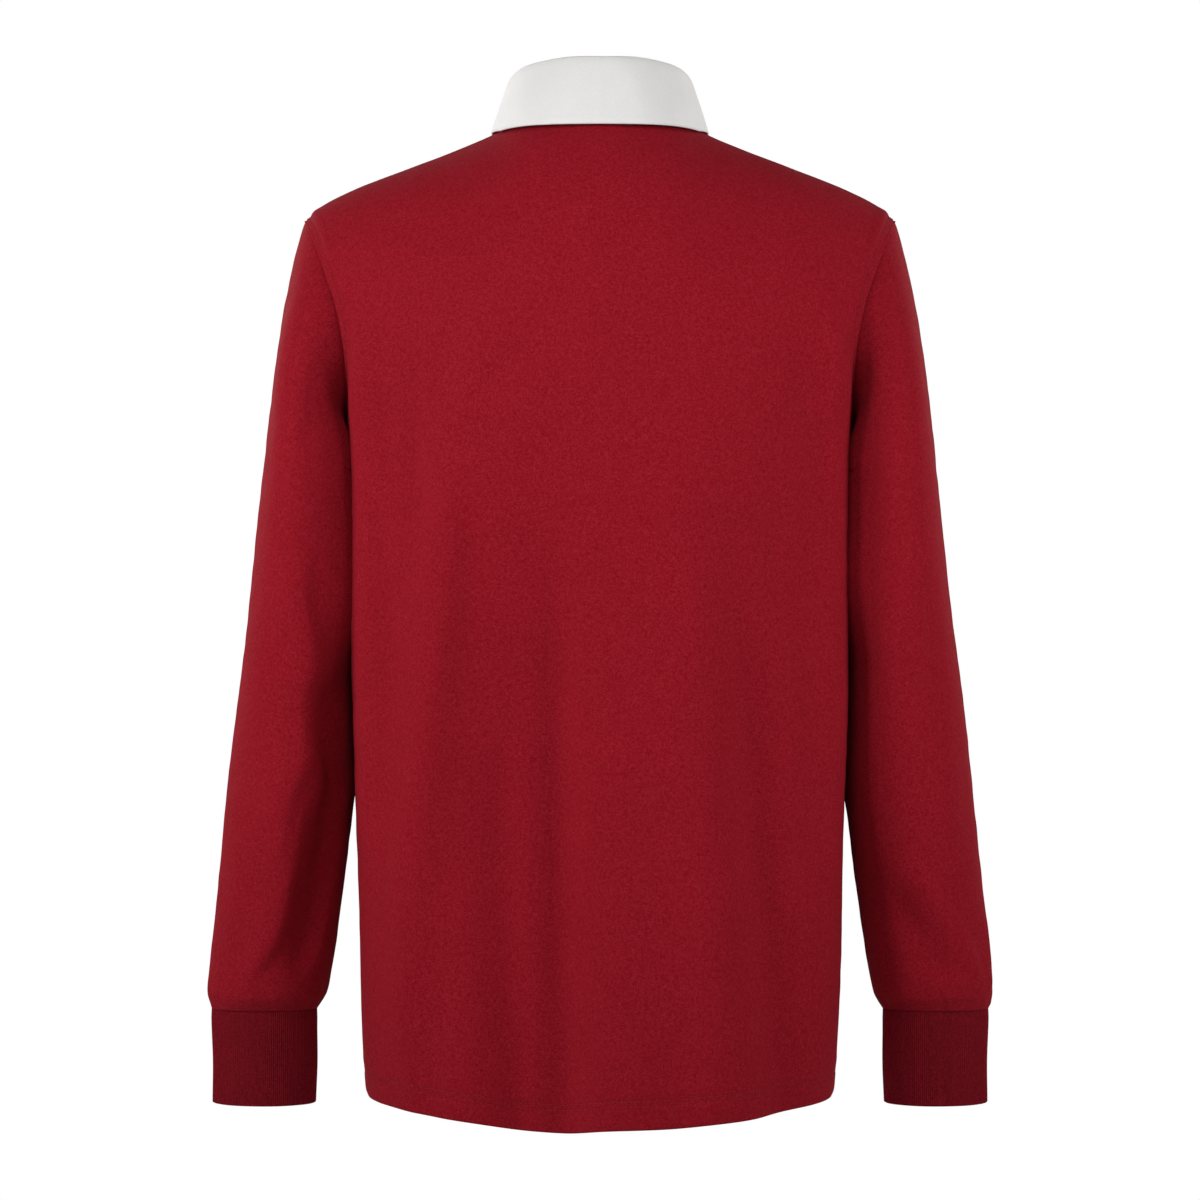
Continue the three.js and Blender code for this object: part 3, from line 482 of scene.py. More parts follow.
class Recipe:
    """A material being made: it adds nodes and joins them."""

    def __init__(self, name: str) -> None:
        """Starts a material.

        Args:
            name: Its name.
        """
        self.material = bpy.data.materials.new(name)
        self.material.use_nodes = True
        self.tree = self.material.node_tree
        self.shader = self.tree.nodes["Principled BSDF"]

    def node(self, kind: str, **settings: object) -> bpy.types.Node:
        """Adds a node.

        Args:
            kind: Blender's name for its type, without ShaderNode.
            settings: Values for its own settings.

        Returns:
            The node.
        """
        made = self.tree.nodes.new("ShaderNode" + kind)
        for key, value in settings.items():
            setattr(made, key, value)
        return made

    def put(self, socket: bpy.types.NodeSocket, value: object) -> None:
        """Joins a socket to another, or sets its value.

        Args:
            socket: The socket that takes it.
            value: A socket, number, colour or vector.
        """
        if isinstance(value, bpy.types.NodeSocket):
            self.tree.links.new(value, socket)
        else:
            socket.default_value = value

    def sum(self, how: str, *values: object) -> bpy.types.NodeSocket:
        """Works out a number.

        Args:
            how: The Math node's operation.
            values: What it works on.

        Returns:
            The result.
        """
        made = self.node("Math", operation=how)
        for socket, value in zip(made.inputs, values):
            self.put(socket, value)
        return made.outputs[0]

    def noise(self, where: object, scale: float, detail: float = 2.0) -> bpy.types.NodeSocket:
        """Soft noise from 0 to 1.

        Args:
            where: The coordinates it is laid out in.
            scale: How many features a metre.
            detail: How many finer layers it has.

        Returns:
            The noise's value.
        """
        made = self.node("TexNoise")
        self.put(made.inputs["Vector"], where)
        made.inputs["Scale"].default_value = scale
        made.inputs["Detail"].default_value = detail
        return made.outputs["Fac"]

    def tones(self, value: object, stops: Sequence[tuple[float, tuple]]) -> bpy.types.NodeSocket:
        """A colour by value.

        Args:
            value: The number that picks the colour.
            stops: Each colour, as red, green and blue, with the value it is at.

        Returns:
            The colour.
        """
        ramp = self.node("ValToRGB")
        self.put(ramp.inputs["Fac"], value)
        elements = ramp.color_ramp.elements
        while len(elements) < len(stops):
            elements.new(0.5)
        for element, (place, colour) in zip(elements, stops):
            element.position = place
            element.color = (*colour, 1.0)
        return ramp.outputs["Color"]

    def tinted(self, factor: float, a: object, b: object) -> bpy.types.NodeSocket:
        """Multiplies two colours.

        Args:
            factor: How much of the second one shows.
            a: The first colour.
            b: The second colour.

        Returns:
            The colour.
        """
        made = self.node("Mix", data_type="RGBA", blend_type="MULTIPLY")
        self.put(made.inputs["Factor"], factor)
        self.put(made.inputs["A"], a)
        self.put(made.inputs["B"], b)
        return made.outputs["Result"]

    def weighed(self, a: object, part_a: float, b: object, part_b: float) -> bpy.types.NodeSocket:
        """The sum of two numbers, each times its weight."""
        return self.sum("ADD", self.sum("MULTIPLY", a, part_a), self.sum("MULTIPLY", b, part_b))

    def wave(self, phase: object) -> bpy.types.NodeSocket:
        """A wave from 0 to 1."""
        return self.sum("MULTIPLY_ADD", self.sum("SINE", phase), 0.5, 0.5)

    def place(self) -> bpy.types.NodeSocket:
        """Coordinates fixed to the piece, in metres."""
        return self.node("TexCoord").outputs["Object"]

    def weave(self) -> tuple[bpy.types.NodeSocket, bpy.types.NodeSocket]:
        """The place across and along the cloth, in metres."""
        laid = self.node("UVMap", uv_map=WEAVE)
        split = self.node("SeparateXYZ")
        self.put(split.inputs[0], laid.outputs["UV"])
        return split.outputs["X"], split.outputs["Y"]

    def bump(self, height: object, depth: float, strength: float = 1.0) -> None:
        """Gives the shader a bump.

        Args:
            height: The bump's height from 0 to 1.
            depth: What a height of 1 is, in metres.
            strength: How much of it shows.
        """
        made = self.node("Bump")
        made.inputs["Strength"].default_value = strength
        made.inputs["Distance"].default_value = depth
        self.put(made.inputs["Height"], height)
        self.put(self.shader.inputs["Normal"], made.outputs["Normal"])

    def finish(self, colour: object, rough: object, gloss: float) -> bpy.types.Material:
        """Sets what every finish has.

        Args:
            colour: Its colour.
            rough: Its roughness.
            gloss: Its specular level.

        Returns:
            The finished material.
        """
        self.put(self.shader.inputs["Base Color"], colour)
        self.put(self.shader.inputs["Roughness"], rough)
        self.shader.inputs["Specular IOR Level"].default_value = gloss
        return self.material

    def nap(self, weight: float, rough: float, tint: tuple[float, float, float]) -> None:
        """Gives the shader the soft glow of short fibres.

        Args:
            weight: How much.
            rough: How wide it spreads.
            tint: Its colour.
        """
        self.shader.inputs["Sheen Weight"].default_value = weight
        self.shader.inputs["Sheen Roughness"].default_value = rough
        self.shader.inputs["Sheen Tint"].default_value = (*tint, 1.0)


def shade(colour: tuple[float, float, float], by: float) -> tuple[float, float, float]:
    """A colour made lighter or darker by a factor."""
    return tuple(min(part * by, 1.0) for part in colour)


def grey(level: float) -> tuple[float, float, float]:
    """A grey, which darkens or lightens what it is multiplied with."""
    return (level, level, level)


@dataclass(frozen=True)
class KnitJersey:
    """Heavy cotton jersey: columns of small slanting loops, with mottled yarn and painted shade
    where the loops sink low.
    """

    name: str = "red_knit_jersey"
    colour: tuple[float, float, float] = (0.270, 0.0071, 0.0156)
    wale: float = 1.05
    course: float = 0.8
    # How far the loops' legs slant, features a metre of its noises, and the relief's depth
    slant: float = 1.1
    grain: float = 900.0
    slub: float = 420.0
    cloud: float = 26.0
    depth: float = 0.00034

    def material(self) -> bpy.types.Material:
        """Makes the finish."""
        r = Recipe(self.name)
        place = r.place()
        height = self.loops(r)
        fine = r.noise(place, self.grain)
        slub = r.noise(place, self.slub)
        cloudy = r.noise(place, self.cloud, 3)
        mottle = r.weighed(fine, 0.7, slub, 0.3)
        red, green, blue = self.colour
        tones = [
            (0.30, (red * 0.78, green * 0.30, blue * 0.42)),
            (0.50, self.colour),
            (0.70, (red * 1.24, green * 2.1, blue * 1.75)),
        ]
        yarn = r.tones(mottle, tones)
        pale = r.tones(cloudy, [(0.3, grey(0.98)), (0.7, grey(1.02))])
        cloth = r.tinted(1.0, yarn, pale)
        # Painted shade: the colour is darkened where the knit's loops are low, in the recesses
        # between them.
        deep = r.tones(height, [(0.0, grey(0.72)), (0.6, grey(1.0))])
        colour = r.tinted(0.6, cloth, deep)
        r.bump(r.weighed(height, 0.65, fine, 0.35), self.depth, 0.75)
        r.nap(0.04, 0.45, (0.9, 0.22, 0.24))
        rough = r.sum("MULTIPLY_ADD", slub, 0.14, 0.84)
        return r.finish(colour, rough, 0.05)

    def loops(self, r: Recipe) -> bpy.types.NodeSocket:
        """The height of the knit, with two slanting legs to each loop.

        Args:
            r: The material being made.

        Returns:
            The height, from 0 to 1.
        """
        across, along = r.weave()
        warp = r.noise(r.place(), 140, 2)
        moved = r.sum("MULTIPLY_ADD", warp, 0.0006, across)
        column = r.sum("MULTIPLY", moved, 1 / (self.wale * MM))
        part = r.sum("FRACT", column)
        off_middle = r.sum("ABSOLUTE", r.sum("SUBTRACT", part, 0.5))
        slanted = r.sum("MULTIPLY", off_middle, self.slant)
        row = r.sum("MULTIPLY_ADD", along, 1 / (self.course * MM), slanted)
        leg = r.sum("MULTIPLY", r.sum("FRACT", r.sum("MULTIPLY", column, 2.0)), math.pi)
        ridge = r.sum("SINE", leg)
        turn = r.sum("SINE", r.sum("MULTIPLY", row, TURN))
        lifted = r.sum("MULTIPLY_ADD", turn, 0.32, 0.68)
        return r.sum("MULTIPLY", ridge, lifted)


@dataclass(frozen=True)
class CuffRib:
    """Ribbed cotton of the cuffs, with painted shade in the furrows of its courses. The ribs
    themselves are in the mesh.
    """

    name: str = "red_cuff_rib"
    colour: tuple[float, float, float] = (0.168, 0.0055, 0.0112)
    course: float = 0.8
    # How fast the courses step across the ribs, grains a metre, and the relief's depth
    step: float = 900.0
    grain: float = 700.0
    depth: float = 0.0003

    def material(self) -> bpy.types.Material:
        """Makes the finish."""
        r = Recipe(self.name)
        place = r.place()
        across, along = r.weave()
        rising = r.sum("MULTIPLY", along, TURN / (self.course * MM))
        rungs = r.wave(r.sum("MULTIPLY_ADD", across, self.step, rising))
        fine = r.noise(place, self.grain, 3)
        tones = [
            (0.28, shade(self.colour, 0.66)),
            (0.50, self.colour),
            (0.74, shade(self.colour, 1.42)),
        ]
        yarn = r.tones(fine, tones)
        # Painted shade: the colour is darkened in the furrows between the courses.
        deep = r.tones(rungs, [(0.0, grey(0.8)), (0.7, grey(1.0))])
        colour = r.tinted(0.7, yarn, deep)
        r.bump(r.weighed(rungs, 0.5, fine, 0.5), self.depth, 0.7)
        r.nap(0.04, 0.45, (0.85, 0.2, 0.22))
        return r.finish(colour, 0.9, 0.05)


@dataclass(frozen=True)
class CottonTwill:
    """White cotton twill of the collar and the placket, with its fine slanting lines."""

    name: str = "white_cotton_twill"
    colour: tuple[float, float, float] = (0.765, 0.758, 0.742)
    # The pitch of its lines and of its picks, features a metre, and the relief's depth
    pitch: float = 0.62
    pick: float = 0.45
    grain: float = 900.0
    wander: float = 300.0
    cloud: float = 32.0
    depth: float = 0.00012

    def material(self) -> bpy.types.Material:
        """Makes the finish."""
        r = Recipe(self.name)
        place = r.place()
        across, along = r.weave()
        slant = r.sum("MULTIPLY", r.sum("ADD", across, along), TURN / (self.pitch * MM))
        lines = r.wave(r.sum("MULTIPLY_ADD", r.noise(place, self.wander), 2.2, slant))
        pick = r.sum("SINE", r.sum("MULTIPLY", along, TURN / (self.pick * MM)))
        fine = r.noise(place, self.grain)
        soft = r.noise(place, self.cloud, 3)
        tones = [(0.3, shade(self.colour, 0.965)), (0.7, shade(self.colour, 1.015))]
        cloth = r.tones(soft, tones)
        thread = r.tones(fine, [(0.3, grey(0.95)), (0.7, grey(1.0))])
        colour = r.tinted(1.0, cloth, thread)
        relief = r.weighed(lines, 0.55, fine, 0.3)
        r.bump(r.sum("MULTIPLY_ADD", pick, 0.07, relief), self.depth, 0.6)
        r.nap(0.04, 0.4, (1.0, 1.0, 1.0))
        return r.finish(colour, 0.86, 0.2)


@dataclass(frozen=True)
class ButtonRubber:
    """Matt off-white rubber."""

    name: str = "offwhite_button_rubber"
    colour: tuple[float, float, float] = (0.74, 0.72, 0.67)
    # Features a metre of its two noises, and the relief's depth
    grain: float = 1500.0
    cloud: float = 160.0
    depth: float = 0.00006

    def material(self) -> bpy.types.Material:
        """Makes the finish."""
        r = Recipe(self.name)
        place = r.place()
        grain = r.noise(place, self.grain)
        cloudy = r.noise(place, self.cloud, 3)
        tones = [(0.3, shade(self.colour, 0.93)), (0.7, shade(self.colour, 1.04))]
        colour = r.tones(cloudy, tones)
        r.bump(grain, self.depth, 0.5)
        rough = r.sum("MULTIPLY_ADD", grain, 0.16, 0.42)
        return r.finish(colour, rough, 0.4)


@dataclass(frozen=True)
class SewingThread:
    """Twisted sewing thread, with painted shade in the grooves of its twist and a painted highlight
    on its ridges.
    """

    name: str
    colour: tuple[float, float, float]
    twist: float = 0.5
    depth: float = 0.0001

    def material(self) -> bpy.types.Material:
        """Makes the finish."""
        r = Recipe(self.name)
        place = r.place()
        split = r.node("SeparateXYZ")
        r.put(split.inputs[0], place)
        level = r.sum("ADD", split.outputs["X"], split.outputs["Y"])
        lean = r.sum("ADD", level, split.outputs["Z"])
        twist = r.wave(r.sum("MULTIPLY", lean, TURN / (self.twist * MM)))
        # Painted shade and highlight: the thread is darker in the grooves of its twist and lighter
        # on its ridges.
        tones = [(0.0, shade(self.colour, 0.78)), (0.8, shade(self.colour, 1.1))]
        r.bump(twist, self.depth, 0.6)
        return r.finish(r.tones(twist, tones), 0.62, 0.25)


# The form inside the cloth


@dataclass(frozen=True)
class Trunk:
    """The rounded form that the body's cloth follows."""

    underarm: float = -226.0
    tip_x: float = 218.0
    tip_z: float = -62.5
    neck_half: float = 68.0
    neck_point: float = 7.0
    nape: float = 10.0
    front_neck: float = -62.0
    front_neck_power: float = 1.8
    neck_rise: float = 27.0
    hem_side: float = -706.5
    hem_curve: float = 1.3
    section_power: float = 2.4
    section_height: float = -343.0
    hem_drop: ClassVar[dict[Face, float]] = {Face.BACK: 12.0, Face.FRONT: 6.0}
    rounding: ClassVar[dict[Face, float]] = {Face.BACK: 150.0, Face.FRONT: 130.0}
    # Height, half width, depth of the back and depth of the front
    BODY: ClassVar[Rows] = (
        (-720, 168, 112, 116),
        (-700, 172.8, 112.5, 117),
        (-640, 176, 113, 118.5),
        (-565, 177.2, 112, 120),
        (-491, 177.4, 111, 121.5),
        (-417, 179, 111.5, 124),
        (-343, 181, 113.5, 127),
        (-269, 182.8, 116.5, 129.5),
        (-226, 185.5, 118, 129),
        (-196, 193, 118.4, 127),
        (-160, 206, 118, 123),
        (-110, 224, 115, 112),
        (-62, 240, 110, 93),
        (0, 261, 104, 88),
        (40, 275, 97, 84),
    )
    # Half width and height
    SHOULDER: ClassVar[Rows] = (
        (68, 7),
        (79, 0.8),
        (104, -9.8),
        (142, -24.6),
        (181, -39.6),
        (204, -51),
        (218, -62.5),
    )
    # Height and half width
    ARMHOLE: ClassVar[dict[Face, Rows]] = {
        Face.BACK: (
            (-226, 185.5),
            (-212, 184.6),
            (-190, 183.6),
            (-165, 184.6),
            (-145, 187.5),
            (-128, 191.5),
            (-113, 196.5),
            (-98, 202),
            (-82, 208.5),
            (-68, 215),
            (-62.5, 218),
        ),
        Face.FRONT: (
            (-226, 185.5),
            (-212, 182.8),
            (-190, 180.4),
            (-160, 180.6),
            (-128, 185.5),
            (-98, 196),
            (-78, 207),
            (-62.5, 218),
        ),
    }

    def side(self, z: Array) -> Array:
        """The form's half width at a height."""
        return Curve(self.BODY, 1)(z)

    def ridge(self, x: Array) -> Array:
        """Height of the top of the form at a distance from the middle."""
        r = np.abs(x) / self.neck_half
        inside = self.neck_point + self.neck_rise * (1 - np.minimum(r, 1) ** 2)
        return np.where(r < 1, inside, Curve(self.SHOULDER)(np.abs(x)))

    def full_depth(self, face: Face, x: Array, z: Array) -> Array:
        """How far the cloth would stand out if it didn't turn in at the shoulder."""
        out = np.minimum(np.abs(x) / self.side(z), 1)
        across = (1 - out**self.section_power) ** (1 / self.section_power)
        return Curve(self.BODY, 2 if face is Face.BACK else 3)(z) * across

    def near_top(self, face: Face, x: Array, z: Array) -> Array:
        """1 on the shoulder line, 0 where the cloth has turned down."""
        return np.maximum(1 - (self.ridge(x) - z) / self.rounding[face], 0)

    def depth(self, face: Face, x: Array, z: Array) -> Array:
        """The form's distance from the middle plane, with + for the back."""
        top = np.sqrt(1 - np.minimum(self.near_top(face, x, z), 1) ** 2)
        return face.value * self.full_depth(face, x, z) * top

    def level(self, points: Array) -> Array:
        """1 on the form, less inside it and more outside."""
        x, y, z = np.moveaxis(points, -1, 0)
        found = []
        for face in Face:
            across = np.abs(y) / np.maximum(self.full_depth(face, x, z), 1e-6)
            found.append(np.hypot(across, self.near_top(face, x, z)))
        return np.where(y > 0, found[0], found[1])

    def slope(self, points: Array, step: float = 0.4) -> Array:
        """The slope of the level, which points straight out of the form.

        Args:
            points: Where to measure it.
            step: How far apart its measurements are.

        Returns:
            A vector for each point.
        """
        parts = []
        for axis in np.eye(3) * step:
            parts.append((self.level(points + axis) - self.level(points - axis)) / (2 * step))
        return np.stack(parts, -1)

    def clear(self, points: Array, distance: float) -> Array:
        """Moves points straight out until they stand this far off the form.

        Args:
            points: The points.
            distance: The least distance.

        Returns:
            The moved points.
        """
        moved = points.copy()
        for _ in range(4):
            slope = self.slope(moved)
            steep = np.linalg.norm(slope, axis=-1)
            away = (self.level(moved) - 1) / steep
            short = np.maximum(distance - away, 0)
            moved = moved + slope / steep[..., None] * short[..., None]
        return moved

    def neckline(self, face: Face, x: Array) -> Array:
        """The neckline's height at a distance from the middle."""
        r = np.minimum(np.abs(x) / self.neck_half, 1)
        if face is Face.BACK:
            return self.nape + (self.neck_point - self.nape) * r * r
        return self.front_neck + (self.neck_point - self.front_neck) * r**self.front_neck_power

    def neck(self, face: Face, turn: Array) -> Array:
        """Points of the neckline, from its middle (0) to the neck point (1)."""
        x = self.neck_half * np.sin(turn * math.pi / 2)
        z = self.neckline(face, x)
        return np.stack([x, self.depth(face, x, z), z], -1)

    def armhole(self, face: Face, turn: Array) -> Array:
        """Points of the armhole seam, from the shoulder (0) to the underarm (1)."""
        z = lerp(self.tip_z, self.underarm, (1 - np.cos(turn * math.pi)) / 2)
        x = Curve(self.ARMHOLE[face])(z)
        return np.stack([x, self.depth(face, x, z), z], -1)

    def shoulder(self, turn: Array) -> Array:
        """Points of the shoulder seam, from the neck point (0) to the sleeve (1)."""
        x = lerp(self.neck_half, self.tip_x, turn)
        return np.stack([x, np.zeros_like(x), self.ridge(x)], -1)

    def section(self, face: Face, turn: Array) -> Array:
        """Points of the level section that spaces a panel's columns."""
        row = next(row for row in self.BODY if row[0] == self.section_height)
        half, deep = row[1], row[2 if face is Face.BACK else 3]
        angle = (turn - 0.5) * math.pi
        power = 2 / self.section_power
        x = np.sign(angle) * half * np.abs(np.sin(angle)) ** power
        return np.stack([x, deep * np.maximum(np.cos(angle), 0) ** power, 0 * x], -1)


# Sewing


@dataclass(frozen=True)
class Stitching:
    """Rows of raised stitches."""

    pitch: float = 3.1
    length: float = 2.3
    radius: float = 0.26
    slant: float = 0.0
    # How much lower than wide a stitch is, and how far its middle rises, as shares of its radius
    flatness: float = 0.8
    arch: float = 0.35
    # The least squared thickness of its ends
    blunt: float = 0.02

    def stitches(self, line: Array, normals: Array) -> tuple[Array, Array]:
        """The points and faces of one row.

        Args:
            line: The row's path on the cloth.
            normals: The cloth's normal at each point of it.

        Returns:
            Points of every stitch, and each stitch's faces.
        """
        lengths = np.concatenate([[0], np.cumsum(np.linalg.norm(np.diff(line, axis=0), axis=1))])
        count = max(int(lengths[-1] / self.pitch), 1)
        middles = (np.arange(count) + 0.5) * lengths[-1] / count
        ends = []
        for shift in (-0.5, 0.5):
            at = middles + shift * self.length
            ends.append(np.stack([np.interp(at, lengths, line[:, k]) for k in range(3)], -1))
        normal = unit(np.stack([np.interp(middles, lengths, normals[:, k]) for k in range(3)], -1))
        middle = sum(ends) / 2
        along = unit(ends[1] - ends[0])
        side = unit(np.cross(normal, along))
        along = unit(along + side * self.slant)
        side = unit(np.cross(normal, along))
        rings, sides = 5, 6
        template = []
        for ring in range(rings):
            t = ring / (rings - 1) * 2 - 1
            thick = self.radius * math.sqrt(max(1 - t * t, self.blunt))
            for k in range(sides):
                angle = TURN * k / sides
                risen = self.radius * self.arch * (1 - t * t)
                lifted = thick * math.sin(angle) * self.flatness + risen
                template.append((t * self.length / 2, thick * math.cos(angle), lifted))
        shape = np.array(template)
        axes = np.stack([along, side, normal], 1)
        points = middle[:, None] + np.einsum("pk,nkc->npc", shape, axes)
        faces = []
        for ring in range(rings - 1):
            for k in range(sides):
                a, b = ring * sides + k, ring * sides + (k + 1) % sides
                faces.append((a, b, b + sides, a + sides))
        caps = [tuple(range(sides))[::-1], tuple((rings - 1) * sides + k for k in range(sides))]
        return points, faces + caps

    def piece(self, name: str, rows: Sequence[tuple[Array, Array]]) -> bpy.types.Object:
        """Makes several rows of stitches as one object.

        Args:
            name: The piece's name.
            rows: Each row's path and normals.

        Returns:
            The new object.
        """
        vertices, faces, start = [], [], 0
        for line, normals in rows:
            points, shape = self.stitches(line, normals)
            for stitch in points:
                vertices.append(stitch)
                faces += [tuple(start + k for k in face) for face in shape]
                start += len(stitch)
        return link_mesh(name, np.concatenate(vertices), faces)


def laid_path(outer: Array, normals: Array, run: Array, distance: float) -> tuple[Array, Array]:
    """A path that crosses each row of a grid at one distance along it.

    Args:
        outer: The grid's points.
        normals: Their normals.
        run: How far along its row each point is.
        distance: Where the path crosses.

    Returns:
        The path's points and normals.
    """
    line, out = [], []
    for points, facings, lengths in zip(outer, normals, run):
        at = np.interp(distance, lengths, np.arange(len(lengths)))
        k, part = int(at), at % 1
        line.append(lerp(points[k], points[k + 1], part))
        out.append(lerp(facings[k], facings[k + 1], part))
    return np.array(line), unit(np.array(out))


def dress(
    piece: bpy.types.Object, material: bpy.types.Material, replaced: Sequence[str] = ()
) -> bpy.types.Object:
    """Gives a piece its finish and its place in the part.

    Args:
        piece: The piece.
        material: Its finish.
        replaced: The solids that it stands for.

    Returns:
        The same piece.
    """
    piece.data.materials.append(material)
    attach(piece, "root")
    if replaced:
        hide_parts(*replaced)
    return piece


# The body


@dataclass
class Panel:
    """The back or the front of the body, cut from the knit."""

    trunk: Trunk
    face: Face
    creases: Sequence[Crease]
    unevenness: Sequence[Unevenness]
    wall: float = 1.2
    seam_gap: float = 0.05
    neck_share: float = 6 / 14
    band: float = 6.6
    band_press: float = 0.7
    band_swell: float = 0.95
    pucker: float = 0.11
    pucker_pitch: float = 5.6
    hem_rows: tuple[float, float] = (16.3, 20.3)
    hem_turn: tuple[float, float] = (20.5, 21.8)
    hem_ply: float = 1.0
    hem_drawn: float = 0.16
    hem_pitch: float = 11.5
    armhole_rows: tuple[float, float] = (1.9, 5.6)
    shoulder_row: float = 6.2
    row_width: float = 0.7
    # How much of a crease's depth also moves the hem up or down, and how far up that is felt
    hem_follow: float = 0.25
    follow_reach: float = 220.0
    # How far from the side and from the top the creases have their full height
    calm_side: float = 20.0
    calm_top: float = 24.0
    # Each a fine step, how far from the edge it goes, and a coarse step
    column_steps: tuple[float, float, float] = (1.15, 16, 3.5)
    armhole_steps: tuple[float, float, float] = (1.2, 12, 2.9)
    fall_steps: tuple[float, float, float] = (1.25, 27, 4.3)

    def __post_init__(self) -> None:
        """Lays out the panel's surface."""
        base = self.layout()
        outward = np.array([0.0, self.face.value, 0.0])
        self.from_side = self.edge_distances(base)
        self.from_top = run_lengths(base, 0)
        self.from_hem = self.from_top[-1:] - self.from_top
        normals = self.squared(facing(grid_normals(base), outward))
        lift = self.lift(base)
        self.outer = base + normals * lift[..., None]
        follow = self.hem_follow * lift * smoothstep(self.follow_reach, 0, self.from_hem)
        self.outer[..., 2] += follow
        self.outer[..., 1] += self.parting(base)
        self.normals = self.squared(facing(grid_normals(self.outer), outward))
        self.base = base

    def layout(self) -> Array:
        """The panel's plain surface, as points by row and column."""
        trunk, face = self.trunk, self.face
        even_neck = EvenPath(lambda t: trunk.neck(face, t))
        even_shoulder = EvenPath(trunk.shoulder)
        even_section = EvenPath(lambda t: trunk.section(face, t))
        even_armhole = EvenPath(lambda t: trunk.armhole(face, t))
        half = even_section.length / 2
        from_edge = graded(half, *self.column_steps)
        right = (1 - from_edge / half)[::-1]
        turns = np.concatenate([-right[:0:-1], right])
        away = np.abs(turns)
        neck = trunk.neck(face, even_neck(np.minimum(away / self.neck_share, 1)))
        past = np.clip((away - self.neck_share) / (1 - self.neck_share), 0, 1)
        shoulder = trunk.shoulder(even_shoulder(past))
        top = np.where((away <= self.neck_share)[:, None], neck, shoulder)
        top[:, 0] *= np.sign(turns)
        shares = trunk.section(face, even_section((turns + 1) / 2))[:, 0]
        shares = shares / np.abs(shares).max()
        length = even_armhole.length
        places = graded(length, *self.armhole_steps) / length
        edges = trunk.armhole(face, even_armhole(places))
        down = (trunk.tip_z - edges[:, 2]) / (trunk.tip_z - trunk.underarm)
        spread = smoothstep(0, 1, down)[:, None]
        share = lerp(top[:, 0] / trunk.tip_x, shares, spread)
        x = edges[:, :1] * share
        z = lerp(top[:, 2], trunk.underarm, down[:, None])
        upper = np.stack([x, trunk.depth(face, x, z), z], -1)
        upper[0] = top
        fall = trunk.underarm - trunk.hem_side
        steps = 1 - graded(fall, *self.fall_steps)[::-1] / fall
        drop = trunk.hem_drop[face] * (1 - shares**2) ** trunk.hem_curve
        z = lerp(trunk.underarm, trunk.hem_side - drop, steps[1:, None])
        x = trunk.side(z) * shares
        lower = np.stack([x, trunk.depth(face, x, z), z], -1)
        self.armhole_count = len(upper)
        self.shoulder_columns = away >= self.neck_share
        self.turns = turns
        return np.concatenate([upper, lower])

    def edge_distances(self, grid: Array) -> Array:
        """How far along its row each point lies from the nearer side of the panel."""
        run = run_lengths(grid, 1)
        return np.minimum(run, run[:, -1:] - run)

    def squared(self, normals: Array) -> Array:
        """The same normals, level at the shoulder and side seams so that both panels meet.

        Args:
            normals: A normal for each point.

        Returns:
            The changed normals.
        """
        made = normals.copy()
        last = self.armhole_count - 1
        made[last:, [0, -1], 1] = 0
        made[0, self.shoulder_columns, 1] = 0
        return unit(made)

    def parting(self, base: Array) -> Array:
        """Half the gap between the panels, at the seams where they meet."""
        made = np.zeros(base.shape[:2])
        made[self.armhole_count - 1 :, [0, -1]] = 1
        made[0, self.shoulder_columns] = 1
        return made * self.face.value * self.seam_gap / 2

    def lift(self, base: Array) -> Array:
        """How far creases and sewing move the cloth outwards.

        Args:
            base: The panel's plain surface.

        Returns:
            The distance at each point.
        """
        x, _, z = np.moveaxis(base, -1, 0)
        total = sum(crease.lift(x, z) for crease in self.creases)
        total = total + sum(part.lift(x, z) for part in self.unevenness)
        total = total * smoothstep(0, self.calm_side, self.from_side)
        total = total * smoothstep(0, self.calm_top, self.from_top)
        return total + self.armhole_lift(z) + self.hem_lift() + self.seam_lift(z)

    def armhole_lift(self, z: Array) -> Array:
        """The pressed band beside the armhole seam, with its rows of stitching.

        Args:
            z: Each point's height.

        Returns:
            The distance at each point.
        """
        edge = self.from_side
        rows = np.arange(len(z))[:, None] < self.armhole_count
        weight = smoothstep(self.trunk.underarm, self.trunk.underarm + 16, z) * rows
        band = 1 - smoothstep(self.band - 0.7, self.band + 0.9, edge)
        along = self.from_top[:, [0]] + edge * 0.7
        pucker = np.sin(TURN * along / self.pucker_pitch + 1.3 * np.sin(along / 9.0))
        made = -self.band_press * band * smoothstep(0, 1.2, edge)
        made += self.band_swell * bell(edge, self.band + 3.6, 4.2) + 0.3 * bell(edge, 3.8, 1.2)
        for row in self.armhole_rows:
            made -= 0.4 * bell(edge, row, self.row_width)
        made += self.pucker * pucker * bell(edge, 4.6, 4.4)
        return made * weight

    def hem_lift(self) -> Array:
        """The turned-up hem, drawn in a little by its two rows of stitching."""
        up = self.from_hem
        run = self.from_side
        drawn = np.sin(TURN * run / self.hem_pitch + 1.7 * np.sin(run / 21.0))
        made = 0.3 * (1 - smoothstep(14, 17.5, up)) + 0.35 * bell(up, 25.5, 4.0)
        for row in self.hem_rows:
            made = made - 0.3 * bell(up, row, self.row_width)
        made = made + self.hem_drawn * drawn * bell(up, 18, 8)
        return made - 0.5 * bell(up, 0, 1.3)

    def seam_lift(self, z: Array) -> Array:
        """The furrows of the side and shoulder seams.

        Args:
            z: Each point's height.

        Returns:
            The distance at each point.
        """
        below = smoothstep(self.trunk.underarm + 6, self.trunk.underarm - 8, z)
        side = -0.5 * bell(self.from_side, 0, 1.5) + 0.35 * bell(self.from_side, 6, 3.5)
        top = self.from_top
        shoulder = -0.4 * bell(top, 0, 1.3) + 0.3 * bell(top, 3.4, 1.8)
        shoulder = shoulder - 0.25 * bell(top, self.shoulder_row, self.row_width)
        shoulder = shoulder + 0.4 * bell(top, 10, 3.2)
        return side * below + shoulder * self.shoulder_columns[None, :]

